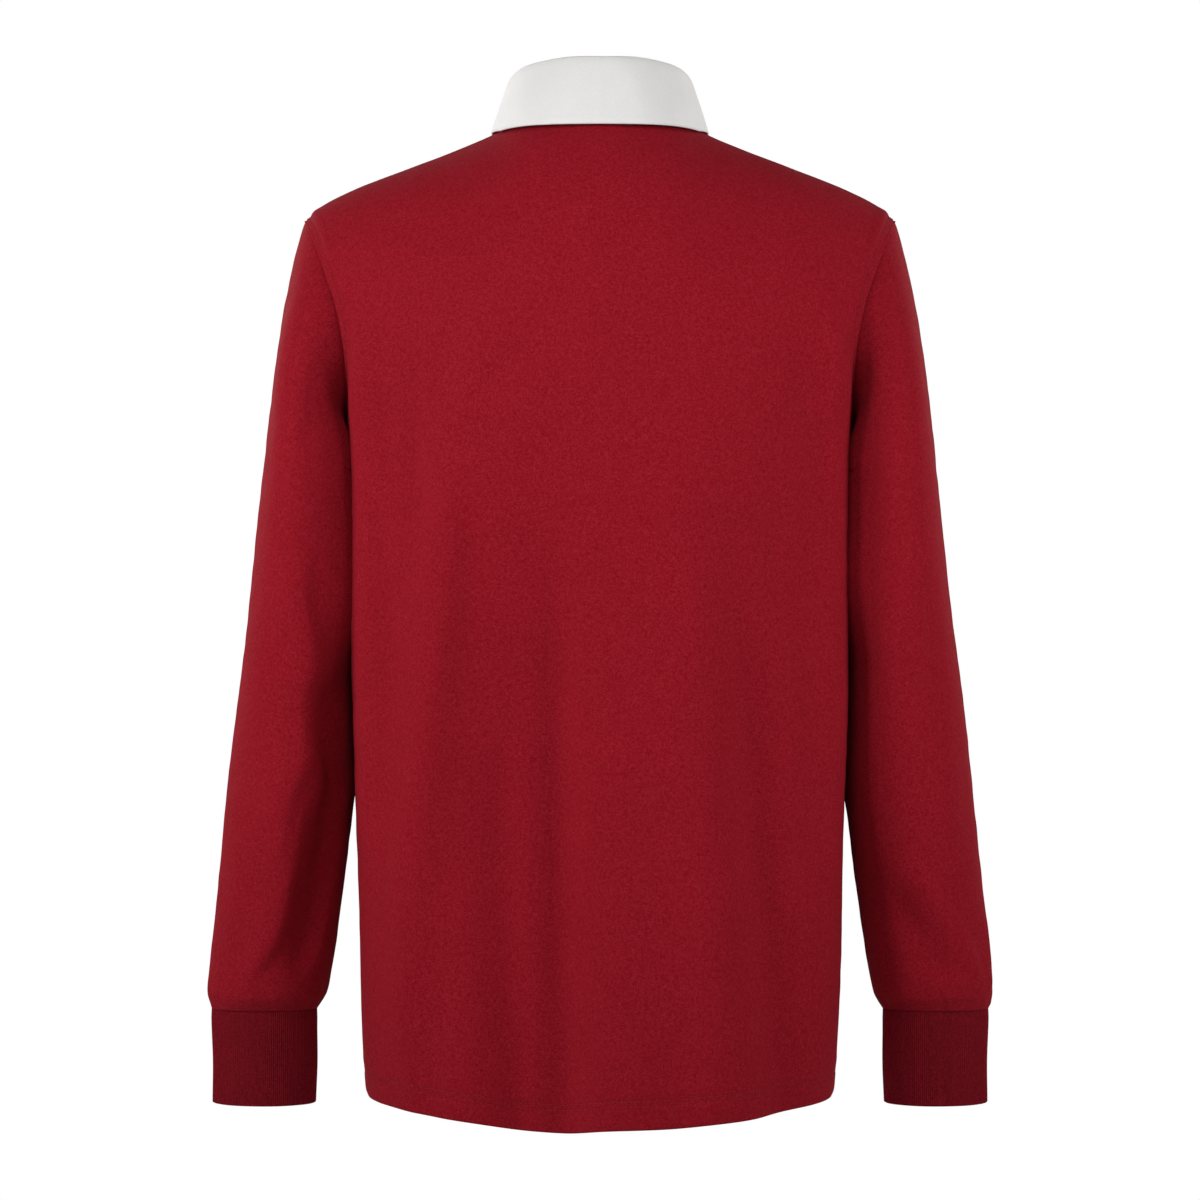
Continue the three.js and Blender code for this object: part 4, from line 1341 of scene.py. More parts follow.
    def piece(self, name: str) -> bpy.types.Object:
        """Makes the panel.

        Args:
            name: The piece's name.

        Returns:
            The new object.
        """
        doubled = self.hem_ply * (1 - smoothstep(*self.hem_turn, self.from_hem))
        inner = self.outer - self.normals * (self.wall + doubled)[..., None]
        columns = run_lengths(self.base, 1)
        middle = columns.shape[1] // 2
        across = columns - columns[:, [middle]]
        level = self.armhole_count - 1
        along = self.from_top[level : level + 1] - self.from_top
        return Shell(self.outer, inner, np.stack([across, along], -1)).piece(name)

    def rows_beside_armhole(self, hand: Hand, distance: float) -> tuple[Array, Array]:
        """A path on the cloth beside the armhole seam.

        Args:
            hand: Which armhole.
            distance: How far from the seam.

        Returns:
            The path's points and normals.
        """
        flip = slice(None, None, -1 if hand is Hand.LEFT else 1)
        outer, normals = self.outer[:, flip], self.normals[:, flip]
        rows = slice(2, self.armhole_count - 2)
        return laid_path(outer[rows], normals[rows], run_lengths(outer, 1)[rows], distance)

    def rows_down(self, distance: float, from_hem: bool, columns: Array) -> tuple[Array, Array]:
        """A path on the cloth along the hem or the shoulder seam.

        Args:
            distance: How far from the edge.
            from_hem: Whether the edge is the hem, and not the top.
            columns: The numbers of the columns that it crosses.

        Returns:
            The path's points and normals.
        """
        run = self.from_hem[::-1] if from_hem else self.from_top
        flip = slice(None, None, -1 if from_hem else 1)
        outer, normals = self.outer[flip][:, columns], self.normals[flip][:, columns]
        across = np.swapaxes(outer, 0, 1), np.swapaxes(normals, 0, 1)
        return laid_path(*across, run[:, columns].T, distance)

    def stitch_rows(self) -> list[tuple[Array, Array]]:
        """Every row of stitching on the panel."""
        columns = np.arange(self.outer.shape[1])
        rows = [self.rows_down(up, True, columns[1:-1]) for up in self.hem_rows]
        for hand in Hand:
            for distance in self.armhole_rows:
                rows.append(self.rows_beside_armhole(hand, distance))
        if self.face is Face.BACK:
            past = self.neck_share + 0.02
            for chosen in (columns[self.turns > past], columns[self.turns < -past]):
                rows.append(self.rows_down(self.shoulder_row, False, chosen[1:-1]))
        return rows


# Each crease gives its line, width, height, skew and fades
BACK_CREASES = (
    Crease(((98, -140), (103, -230), (114, -360), (128, -500), (138, -620), (144, -720)),
           17, 12, 0.2, (0.45, 0.18)),
    Crease(((46, -190), (40, -290), (36, -390), (34, -520), (32, -640), (31, -725)),
           28, -24, 0.2, (0.5, 0)),
    Crease(((72, -260), (74, -340), (77, -430), (78, -520), (74, -620), (69, -725)),
           26, -21, 0.1, (0.6, 0)),
    Crease(((112, -560), (116, -620), (120, -670), (122, -725)), 13, -4, 0, (0.7, 0)),
    Crease(((172, -122), (169, -170), (168, -300), (168, -420), (167, -560), (163, -700)),
           12, 10, 0, (0.1, 0.6)),
    Crease(((-172, -122), (-169, -170), (-167, -300), (-168, -420), (-168, -560), (-166, -700)),
           12, 10, 0, (0.1, 0.6)),
    Crease(((-52, -140), (-60, -240), (-66, -343), (-70, -450), (-74, -560), (-78, -715)),
           36, 7.5, 0, (0.45, 0)),
    Crease(((-14, -360), (-16, -460), (-18, -600), (-20, -718)), 26, 6, 0, (0.5, 0)),
    Crease(((-86, -250), (-98, -360), (-110, -470), (-122, -590), (-134, -718)),
           21, -9.5, 0, (0.45, 0)),
    Crease(((130, -180), (120, -225), (106, -285), (97, -350)), 9, 2.6, 0.25, (0.3, 0.5)),
    Crease(((152, -165), (142, -205), (132, -250)), 8, 1.9, 0, (0.3, 0.5)),
    Crease(((141, -185), (131, -250), (122, -340)), 8, -2, 0, (0.3, 0.5)),
    Crease(((160, -230), (150, -280), (142, -345), (138, -420)), 10, 2, 0, (0.4, 0.5)),
    Crease(((-150, -190), (-142, -250), (-138, -330)), 10, 1.8, 0, (0.4, 0.5)),
    Crease(((-118, -250), (-126, -330), (-134, -430)), 11, -2, 0, (0.4, 0.5)),
    Crease(((140, -540), (146, -620), (148, -712)), 12, -2, 0, (0.5, 0)),
    Crease(((-60, -600), (-58, -660), (-56, -718)), 14, -2, 0, (0.5, 0)),
    Crease(((-150, -60), (-120, -72), (-90, -78)), 10, -1.2, 0, (0.3, 0.6)),
    Crease(((152, -62), (122, -75), (84, -88)), 11, -1, 0, (0.3, 0.6)),
)

FRONT_CREASES = (
    Crease(((76, -170), (84, -280), (92, -420), (98, -560), (102, -706)), 36, 5.4, 0.15, (0.4, 0)),
    Crease(((34, -240), (22, -340), (12, -470), (4, -600), (2, -712)), 36, -7.4, -0.35, (0.45, 0)),
    Crease(((-78, -165), (-88, -290), (-96, -430), (-104, -570), (-108, -706)),
           38, 5.8, -0.15, (0.4, 0)),
    Crease(((132, -330), (140, -450), (146, -580), (148, -700)), 20, -3.2, 0, (0.5, 0)),
    Crease(((-44, -300), (-50, -430), (-52, -560), (-50, -708)), 20, -2.6, 0, (0.5, 0)),
    Crease(((-148, -420), (-152, -540), (-154, -690)), 14, -2, 0, (0.5, 0)),
    Crease(((146, -165), (122, -205), (96, -262)), 10, 1.7, 0, (0.3, 0.5)),
    Crease(((158, -195), (138, -250), (118, -320)), 10, -1.3, 0, (0.3, 0.5)),
    Crease(((-148, -160), (-126, -206), (-104, -268)), 11, 1.6, 0, (0.3, 0.5)),
    Crease(((-158, -200), (-142, -262), (-128, -340)), 9, -1.2, 0, (0.3, 0.5)),
    Crease(((24, -222), (40, -262), (64, -310)), 11, 1.2, 0, (0.3, 0.6)),
    Crease(((-24, -222), (-38, -268), (-56, -322)), 11, 1.1, 0, (0.3, 0.6)),
    Crease(((60, -560), (56, -640), (54, -710)), 15, -1.8, 0, (0.5, 0)),
    Crease(((-80, -70), (-104, -100), (-122, -140)), 13, 1, 0, (0.4, 0.5)),
    Crease(((82, -72), (108, -104), (128, -148)), 13, 0.9, 0, (0.4, 0.5)),
)


# Sleeves


@dataclass
class Sleeve:
    """A sleeve that hangs beside the body and blouses a little over its cuff."""

    trunk: Trunk
    hand: Hand
    creases: Sequence[Crease]
    unevenness: Sequence[Unevenness]
    gather_seed: int
    wall: float = 1.2
    columns: int = 156
    head_foot: float = -248.0
    foot: float = -646.5
    width_power: float = 2.2
    arrival: float = 0.08
    underarm_share: float = 0.9
    tuck: float = 0.9
    unrolled: float = 52.0
    seam_gap: float = 0.3
    seam_ply: float = 0.8
    gather_count: int = 17
    # Each a fine step, how far from the edge it goes, and a coarse step
    head_steps: tuple[float, float, float] = (1.2, 14, 3.1)
    fall_steps: tuple[float, float, float] = (1.3, 20, 3.5)
    # A length for the head's steps, and how far its edge goes in under the body's seam
    head_length: float = 200.0
    tucked_steps: tuple[float, float, float] = (3.6, 2.4, 1.2)
    # Height, outer edge, inner edge, half depth, middle and squareness of the section
    SECTIONS: ClassVar[Rows] = (
        (-646.5, 289.6, 210.4, 26, -20, 2),
        (-642, 291.2, 207.4, 30, -20, 2),
        (-635, 292.3, 203.8, 34.5, -19, 1.95),
        (-610, 290, 198.6, 39, -17, 1.85),
        (-565, 285.4, 192, 45, -13, 1.75),
        (-520, 280.6, 185.8, 50, -8, 1.7),
        (-470, 275, 180.8, 55, -3, 1.75),
        (-420, 268.4, 181.4, 59, 1, 1.85),
        (-360, 260.4, 182.8, 64, 4, 2),
        (-300, 253.2, 184.6, 69, 5, 2.1),
        (-248, 247.4, 187.2, 73, 4, 2.2),
    )

    def ring(self, z: Array, angle: Array) -> Array:
        """Points of the hanging sleeve. Angle 0 is its outer edge and a quarter turn its back.

        Args:
            z: Heights.
            angle: Angles round the sleeve.

        Returns:
            A point for each pair.
        """
        out, inner, deep, middle, power = (Curve(self.SECTIONS, k)(z) for k in range(1, 6))
        c, s = np.cos(angle), np.sin(angle)
        wide = np.sign(c) * np.abs(c) ** (2 / self.width_power)
        x = (out + inner) / 2 + (out - inner) / 2 * wide
        y = middle + deep * np.sign(s) * np.abs(s) ** (2 / power)
        return np.stack(np.broadcast_arrays(x, y, z), -1)

    def armhole(self, angle: Array) -> Array:
        """The armhole seam's point for each angle round the sleeve."""
        even = {f: EvenPath(lambda t, f=f: self.trunk.armhole(f, t)) for f in Face}
        back = self.trunk.armhole(Face.BACK, even[Face.BACK](np.minimum(angle / math.pi, 1)))
        rest = np.clip((TURN - angle) / math.pi, 0, 1)
        front = self.trunk.armhole(Face.FRONT, even[Face.FRONT](rest))
        return np.where((angle <= math.pi)[:, None], back, front)

    def layout(self) -> Array:
        """The left sleeve's plain surface, as points by row and column."""
        angle = TURN * np.arange(self.columns) / self.columns
        c, s = np.cos(angle)[:, None], np.sin(angle)[:, None]
        seam = self.armhole(angle)
        start = seam + np.array([self.seam_gap, 0, 0])
        target = self.ring(np.full(self.columns, self.head_foot), angle)
        reach = np.linalg.norm(target - start, axis=1, keepdims=True)
        leave = np.concatenate([0.27 + 0.5 * s**2, 0.25 * s, -0.95 + 0.35 * s**2], 1)
        straight = smoothstep(-self.underarm_share + 0.06, -self.underarm_share - 0.03, c)
        leave = lerp(leave, np.array([0, 0, -1.0]), straight) * reach
        arrive = np.array([self.arrival, 0, -1.0]) * reach
        head = []
        for t in graded(self.head_length, *self.head_steps) / self.head_length:
            t2, t3 = t * t, t * t * t
            head.append(
                start * (2 * t3 - 3 * t2 + 1)
                + target * (3 * t2 - 2 * t3)
                + leave * (t3 - 2 * t2 + t)
                + arrive * (t3 - t2)
            )
        fall = self.head_foot - self.foot
        heights = self.foot + graded(fall, *self.fall_steps)[::-1][1:]
        body = self.ring(heights[:, None], angle[None, :])
        normal = unit(self.trunk.slope(seam))
        inwards = -unit(leave)
        tucked = []
        for step in self.tucked_steps:
            tucked.append(start + inwards * step - normal * (self.tuck + 0.9))
        self.tucked = len(tucked)
        self.angle = angle
        return np.concatenate([np.array(tucked), np.array(head), body])

    def build(self, name: str) -> bpy.types.Object:
        """Makes the sleeve.

        Args:
            name: The piece's name.

        Returns:
            The new object.
        """
        base = self.layout()
        centre = base.mean(1, keepdims=True)
        normals = facing(grid_normals(base, True), base - centre)
        down = run_lengths(base, 0)
        down = down - down[self.tucked : self.tucked + 1]
        up = down[-1:] - down
        lift = self.lift(base, down, up)
        outer = base + normals * lift[..., None]
        normals = facing(grid_normals(outer, True), base - centre)
        thick = self.wall + self.seam_ply * (1 - smoothstep(6, 9, up))
        inner = outer - normals * thick[..., None]
        across = np.concatenate([run_lengths(base, 1), np.zeros((len(base), 1))], 1)
        across[:, -1] = across[:, -2] + np.linalg.norm(base[:, -1] - base[:, 0], axis=-1)
        level = np.argmin(np.abs(base[:, 0, 2] - self.head_foot))
        along = down[level] - down
        along = np.concatenate([along, along[:, :1]], 1)
        weave = np.stack([across, along], -1)
        flip = np.array([self.hand.value, 1, 1])
        return Shell(outer * flip, inner * flip, weave, True).piece(name)

    def lift(self, base: Array, down: Array, up: Array) -> Array:
        """How far creases and sewing move the cloth outwards.

        Args:
            base: The sleeve's plain surface.
            down: Each point's distance from the armhole seam.
            up: Each point's distance from the cuff seam.

        Returns:
            The distance at each point.
        """
        z = base[..., 2]
        angle = np.broadcast_to(self.angle, z.shape)
        total = np.zeros(z.shape)
        for turn in (-TURN, 0, TURN):
            total += sum(crease.lift((angle + turn) * self.unrolled, z) for crease in self.creases)
        for part in self.unevenness:
            here = part.lift(angle * self.unrolled, z)
            wrapped = part.lift((angle - TURN) * self.unrolled, z)
            total += lerp(here, wrapped, smoothstep(TURN - 0.7, TURN, angle))
        total *= smoothstep(2, 26, down) * smoothstep(0, 14, up)
        total += self.gathers(angle, up)
        total -= self.tuck * np.exp(-np.maximum(down, 0) / 2.4) * (down > -0.5)
        seam = (np.abs(angle - math.pi)) * self.unrolled
        total -= 0.6 * bell(seam, 0, 1.8) * smoothstep(0, 12, down)
        return total

    def gathers(self, angle: Array, up: Array) -> Array:
        """Small uneven gathers where the sleeve is drawn in at the cuff.

        Args:
            angle: Each point's angle round the sleeve.
            up: Each point's distance from the cuff seam.

        Returns:
            The distance at each point.
        """
        dice = np.random.default_rng(self.gather_seed)
        total = np.zeros(angle.shape)
        for _ in range(self.gather_count):
            at = dice.uniform(0, TURN)
            wide = dice.uniform(0.05, 0.14)
            tall = dice.uniform(-0.75, 0.6)
            reach = dice.uniform(9, 26)
            lean = dice.uniform(-0.008, 0.008)
            away = np.angle(np.exp(1j * (angle - at - lean * up)))
            total += tall * bell(away, 0, wide) * np.exp(-((up / reach) ** 2))
        return total * smoothstep(-0.5, 3.5, up)


def on_sleeve(*line: tuple[float, float]) -> tuple[tuple[float, float], ...]:
    """A crease's line on the unrolled cloth, from shares of a turn round a sleeve and heights."""
    return tuple((turns * TURN * Sleeve.unrolled, z) for turns, z in line)


LEFT_SLEEVE_CREASES = (
    Crease(on_sleeve((0.60, -228), (0.60, -320), (0.60, -410), (0.585, -500)),
           24, 11, 0, (0.15, 0.3)),
    Crease(on_sleeve((0.26, -300), (0.27, -345), (0.30, -385), (0.25, -425)),
           15, 3.6, -0.45, (0.4, 0.25)),
    Crease(on_sleeve((0.25, -420), (0.29, -452), (0.25, -485), (0.24, -560)),
           13, 3.4, -0.45, (0.2, 0.4)),
    Crease(on_sleeve((0.42, -165), (0.43, -270), (0.42, -410)), 24, 15, 0, (0.22, 0.3)),
    Crease(on_sleeve((0.38, -392), (0.35, -436), (0.38, -474), (0.36, -520)),
           15, -6.5, 0.2, (0.25, 0.4)),
    Crease(on_sleeve((0.29, -480), (0.28, -535), (0.26, -590), (0.18, -634)),
           10, 4.2, -0.45, (0.3, 0.3)),
    Crease(on_sleeve((0.37, -470), (0.37, -530), (0.35, -580), (0.31, -628)),
           17, -8, -0.2, (0.35, 0.25)),
    Crease(on_sleeve((0.12, -500), (0.15, -560), (0.14, -612)), 12, 1.2, 0, (0.4, 0.4)),
    Crease(on_sleeve((0.10, -110), (0.13, -170), (0.16, -250)), 12, 1, 0, (0.3, 0.5)),
    Crease(on_sleeve((0.27, -130), (0.28, -200), (0.285, -290)), 12, -1.7, 0, (0.3, 0.5)),
    Crease(on_sleeve((0.20, -250), (0.21, -330), (0.19, -400)), 15, 1.1, 0, (0.4, 0.5)),
    Crease(on_sleeve((0.78, -330), (0.73, -385), (0.66, -425)), 12, 2.8, 0.2, (0.3, 0.4)),
    Crease(on_sleeve((0.82, -385), (0.76, -432), (0.68, -468)), 12, -2.4, 0, (0.3, 0.4)),
    Crease(on_sleeve((0.86, -432), (0.79, -478), (0.70, -512)), 12, 2.4, 0.2, (0.3, 0.4)),
    Crease(on_sleeve((0.72, -540), (0.78, -590), (0.82, -632)), 12, -2, 0, (0.3, 0.4)),
    Crease(on_sleeve((0.94, -380), (0.90, -440), (0.92, -520)), 12, -1.5, 0, (0.4, 0.4)),
    Crease(on_sleeve((0.70, -120), (0.72, -190), (0.74, -280)), 13, -1.6, 0, (0.3, 0.5)),
)

RIGHT_SLEEVE_CREASES = (
    Crease(on_sleeve((0.60, -228), (0.60, -320), (0.60, -420), (0.585, -520)),
           24, 11, 0, (0.15, 0.3)),
    Crease(on_sleeve((0.42, -165), (0.43, -270), (0.42, -400)), 22, 14, 0, (0.22, 0.35)),
    Crease(on_sleeve((0.31, -140), (0.31, -230), (0.315, -360), (0.30, -500)),
           12, 2.4, -0.4, (0.3, 0.4)),
    Crease(on_sleeve((0.37, -200), (0.37, -320), (0.36, -470)), 14, -2.6, 0, (0.3, 0.4)),
    Crease(on_sleeve((0.29, -520), (0.24, -560), (0.16, -600), (0.10, -638)),
           12, 2.7, 0.35, (0.3, 0.25)),
    Crease(on_sleeve((0.33, -545), (0.28, -585), (0.22, -628)), 15, -3.4, 0, (0.3, 0.3)),
    Crease(on_sleeve((0.06, -560), (0.05, -600), (0.06, -636)), 9, 1.5, 0, (0.4, 0.2)),
    Crease(on_sleeve((0.14, -430), (0.17, -490), (0.19, -545)), 13, 1.3, 0, (0.4, 0.4)),
    Crease(on_sleeve((0.22, -330), (0.19, -400), (0.20, -470)), 14, -1.1, 0, (0.4, 0.5)),
    Crease(on_sleeve((0.12, -120), (0.14, -190), (0.17, -270)), 12, 0.9, 0, (0.3, 0.5)),
    Crease(on_sleeve((0.77, -345), (0.71, -395), (0.64, -432)), 12, 2.6, 0.2, (0.3, 0.4)),
    Crease(on_sleeve((0.81, -396), (0.74, -440), (0.66, -474)), 12, -2.3, 0, (0.3, 0.4)),
    Crease(on_sleeve((0.85, -450), (0.77, -490), (0.69, -520)), 12, 2.2, 0.2, (0.3, 0.4)),
    Crease(on_sleeve((0.70, -550), (0.76, -596), (0.84, -634)), 12, -1.9, 0, (0.3, 0.4)),
    Crease(on_sleeve((0.93, -350), (0.91, -430), (0.93, -500)), 13, -1.3, 0, (0.4, 0.4)),
    Crease(on_sleeve((0.71, -130), (0.73, -200), (0.75, -290)), 13, -1.5, 0, (0.3, 0.5)),
)


@dataclass
class Cuff:
    """A doubled ribbed cuff, folded over at its lower edge."""

    hand: Hand
    seed: int
    top: float = -646.8
    tucked_top: float = -641.5
    bottom: float = -717.0
    middle: tuple[float, float] = (250.0, -20.0)
    half_top: tuple[float, float] = (39.6, 26.0)
    half_bottom: tuple[float, float] = (38.6, 25.0)
    mean_radius: float = 33.0
    wall: float = 2.2
    ribs: int = 136
    per_rib: int = 6
    rib_height: float = 0.5
    roll: float = 1.1
    tuck: float = 0.9
    rows: int = 13
    roll_rows: int = 4

    def build(self, name: str) -> bpy.types.Object:
        """Makes the cuff.

        Args:
            name: The piece's name.

        Returns:
            The new object.
        """
        dice = np.random.default_rng(self.seed)
        columns = self.ribs * self.per_rib
        angle = self.even_angles(columns)
        rib = np.arange(columns) / self.per_rib
        strength = dice.uniform(0.8, 1.15, self.ribs)[rib.astype(int)]
        ridge = np.abs(np.cos(math.pi * (rib % 1 - 0.5))) ** 0.8 * strength
        heights = np.linspace(self.tucked_top, self.bottom + self.roll, self.rows)
        rows = []
        for z in heights:
            tucked = float(smoothstep(self.top - 2, self.top + 1, np.array(z)))
            inset = self.rib_height * (1 - ridge) + self.tuck * tucked
            rows.append(self.oval(z, angle, self.wandering(inset, angle, z)))
        for turn in np.linspace(0, math.pi / 2, self.roll_rows + 1)[1:]:
            inset = self.roll * (1 - math.cos(turn))
            inset = inset + self.rib_height * (1 - ridge * math.cos(turn))
            z = self.bottom + self.roll * (1 - math.sin(turn))
            rows.append(self.oval(z, angle, self.wandering(inset, angle, z)))
        outer = np.array(rows)
        thick = self.wall + 0 * angle
        inner = np.array([self.oval(float(row[0, 2]), angle, thick) for row in outer])
        inner[-1] = self.oval(self.bottom + 0.5, angle, self.wall - 0.2 + 0 * angle)
        around_cuff = np.concatenate([run_lengths(outer[:1], 1)[0], [TURN * self.mean_radius]])
        down = np.array([self.top - row[0, 2] for row in outer])
        weave = np.stack(np.broadcast_arrays(around_cuff[None, :], down[:, None]), -1)
        flip = np.array([self.hand.value, 1, 1])
        return Shell(outer * flip, inner * flip, weave, True).piece(name)

    def wandering(self, inset: Array, angle: Array, z: float) -> Array:
        """An inset made a little uneven round the cuff and down it."""
        return inset + 0.25 * np.sin(3 * angle + z / 14) + 0.15 * np.sin(7 * angle - z / 9)

    def even_angles(self, count: int) -> Array:
        """Angles that space points evenly round the oval."""
        path = EvenPath(lambda t: self.oval(0.0, TURN * t, 0 * t))
        return TURN * path(np.arange(count) / count)

    def oval(self, z: float, angle: Array, inset: Array) -> Array:
        """Points round the cuff.

        Args:
            z: Their height.
            angle: Their angles.
            inset: How far in from the ribs' tops each point lies.

        Returns:
            The points.
        """
        t = np.clip((self.top - z) / (self.top - self.bottom), 0, 1)
        half = [lerp(a, b, t) for a, b in zip(self.half_top, self.half_bottom)]
        x = self.middle[0] + (half[0] - inset) * np.cos(angle)
        y = self.middle[1] + (half[1] - inset) * np.sin(angle)
        return np.stack([x, y, np.full_like(x, z)], -1)


# Collar and placket


@dataclass
class Collar:
    """A standing collar band and its leaf, one folded sheet of twill."""

    trunk: Trunk
    cloth: float = 1.8
    wall_of_body: float = 1.4
    seam_room: float = 0.7
    fold_radius: float = 2.0
    clearance: float = 1.9
    bow: float = 0.8
    stand_bow: float = 0.8
    seam_rise: float = 2.5
    leaf_middle: float = 0.55
    softness: Unevenness = Unevenness(71, 46, 0.35, 1.6)
    parting: float = 0.6
    columns: int = 241
    pieces: int = 6
    # Place from nape to front, height of the stand, lean, and the leaf's edge
    SHAPE: ClassVar[Rows] = (
        (0, 40.9, 5, 0, 71, 0.5),
        (0.12, 41, 4.6, 27, 68.5, 0.5),
        (0.24, 40.2, 3.6, 54.5, 54, 1),
        (0.34, 38.6, 3, 72, 29, 1),
        (0.43, 36, 3, 79, 1, 1),
        (0.52, 34.2, 3.5, 79, -28, -3),
        (0.64, 33, 4.5, 76, -60, -25),
        (0.76, 32, 5.5, 69.5, -86, -56),
        (0.88, 31, 7, 58, -103, -80),
        (1, 30, 8, 42, -109, -92),
    )

    def thread(self, place: Array) -> Array:
        """Points of the neckline, from the front middle by the wearer's left and the nape.

        Args:
            place: Numbers from -1 to 1, with the nape at 0.

        Returns:
            The points.
        """
        even = {f: EvenPath(lambda t, f=f: self.trunk.neck(f, t)) for f in Face}
        away = np.abs(place)
        front = self.trunk.neck(Face.FRONT, even[Face.FRONT](np.clip((1 - away) * 2, 0, 1)))
        back = self.trunk.neck(Face.BACK, even[Face.BACK](np.clip(away * 2, 0, 1)))
        points = np.where((away >= 0.5)[:, None], front, back)
        side = np.where(place < 0, 1.0, -1.0)
        points[:, 0] *= side
        ends = away > 1 - 1e-9
        points[ends, 0] = side[ends] * self.parting
        return points

    def rows(self) -> Array:
        """The middle of the cloth, as lines from the neck seam over the fold to the leaf's edge."""
        place = np.linspace(-1, 1, self.columns)
        here = self.thread(place)
        side = np.where(place < 0, 1.0, -1.0)[:, None]
        along = np.gradient(here, axis=0)
        along[[0, -1]] = (1, 0, 0)
        along = unit(along)
        stand, lean, x, y, z = (Curve(self.SHAPE, k)(np.abs(place))[:, None] for k in range(1, 6))
        up = np.array([0, 0, 1.0])
        normal = unit(self.trunk.slope(here))
        into = unit(np.cross(along, normal))
        into = into * np.where(into[:, 2:] < 0, -1, 1)
        out = unit(np.stack([along[:, 1], -along[:, 0], 0 * along[:, 0]], -1))
        out = out * np.where(np.sum(out * normal, 1, keepdims=True) < 0, -1, 1)
        base = here - normal * self.wall_of_body / 2 + into * self.seam_room
        low = base + into * self.seam_rise
        top = here + up * stand - out * lean
        under = top - up * self.fold_radius
        stand_top = under - out * self.fold_radius
        leaf_top = under + out * self.fold_radius
        stand_middle = lerp(low, stand_top, 0.5) - out * self.stand_bow
        edge = self.trunk.clear(np.concatenate([side * x, y, z], 1), self.clearance)
        leaf_middle = lerp(leaf_top, edge, self.leaf_middle) + out * self.bow
        leaf_middle = self.trunk.clear(leaf_middle, self.clearance)
        lines = [base, low, stand_middle, stand_top, top, leaf_top, leaf_middle, edge]
        return np.moveaxis(smooth_line(np.stack(lines, 1), self.pieces), 1, 0)

    def build(self, name: str) -> bpy.types.Object:
        """Makes the collar.

        Args:
            name: The piece's name.

        Returns:
            The new object.
        """
        middle = self.rows()
        normals = grid_normals(middle)
        down = run_lengths(middle, 0)
        across = run_lengths(middle, 1)[len(middle) // 2][None, :] + 0 * down
        free = smoothstep(0, 20, down) * (1 - 0.55 * smoothstep(30, 70, down))
        moved = middle + normals * (self.softness.lift(across, down) * free)[..., None]
        normals = grid_normals(moved)
        half = self.cloth / 2
        weave = np.stack([across, -down], -1)
        return Shell(moved + normals * half, moved - normals * half, weave).piece(name)


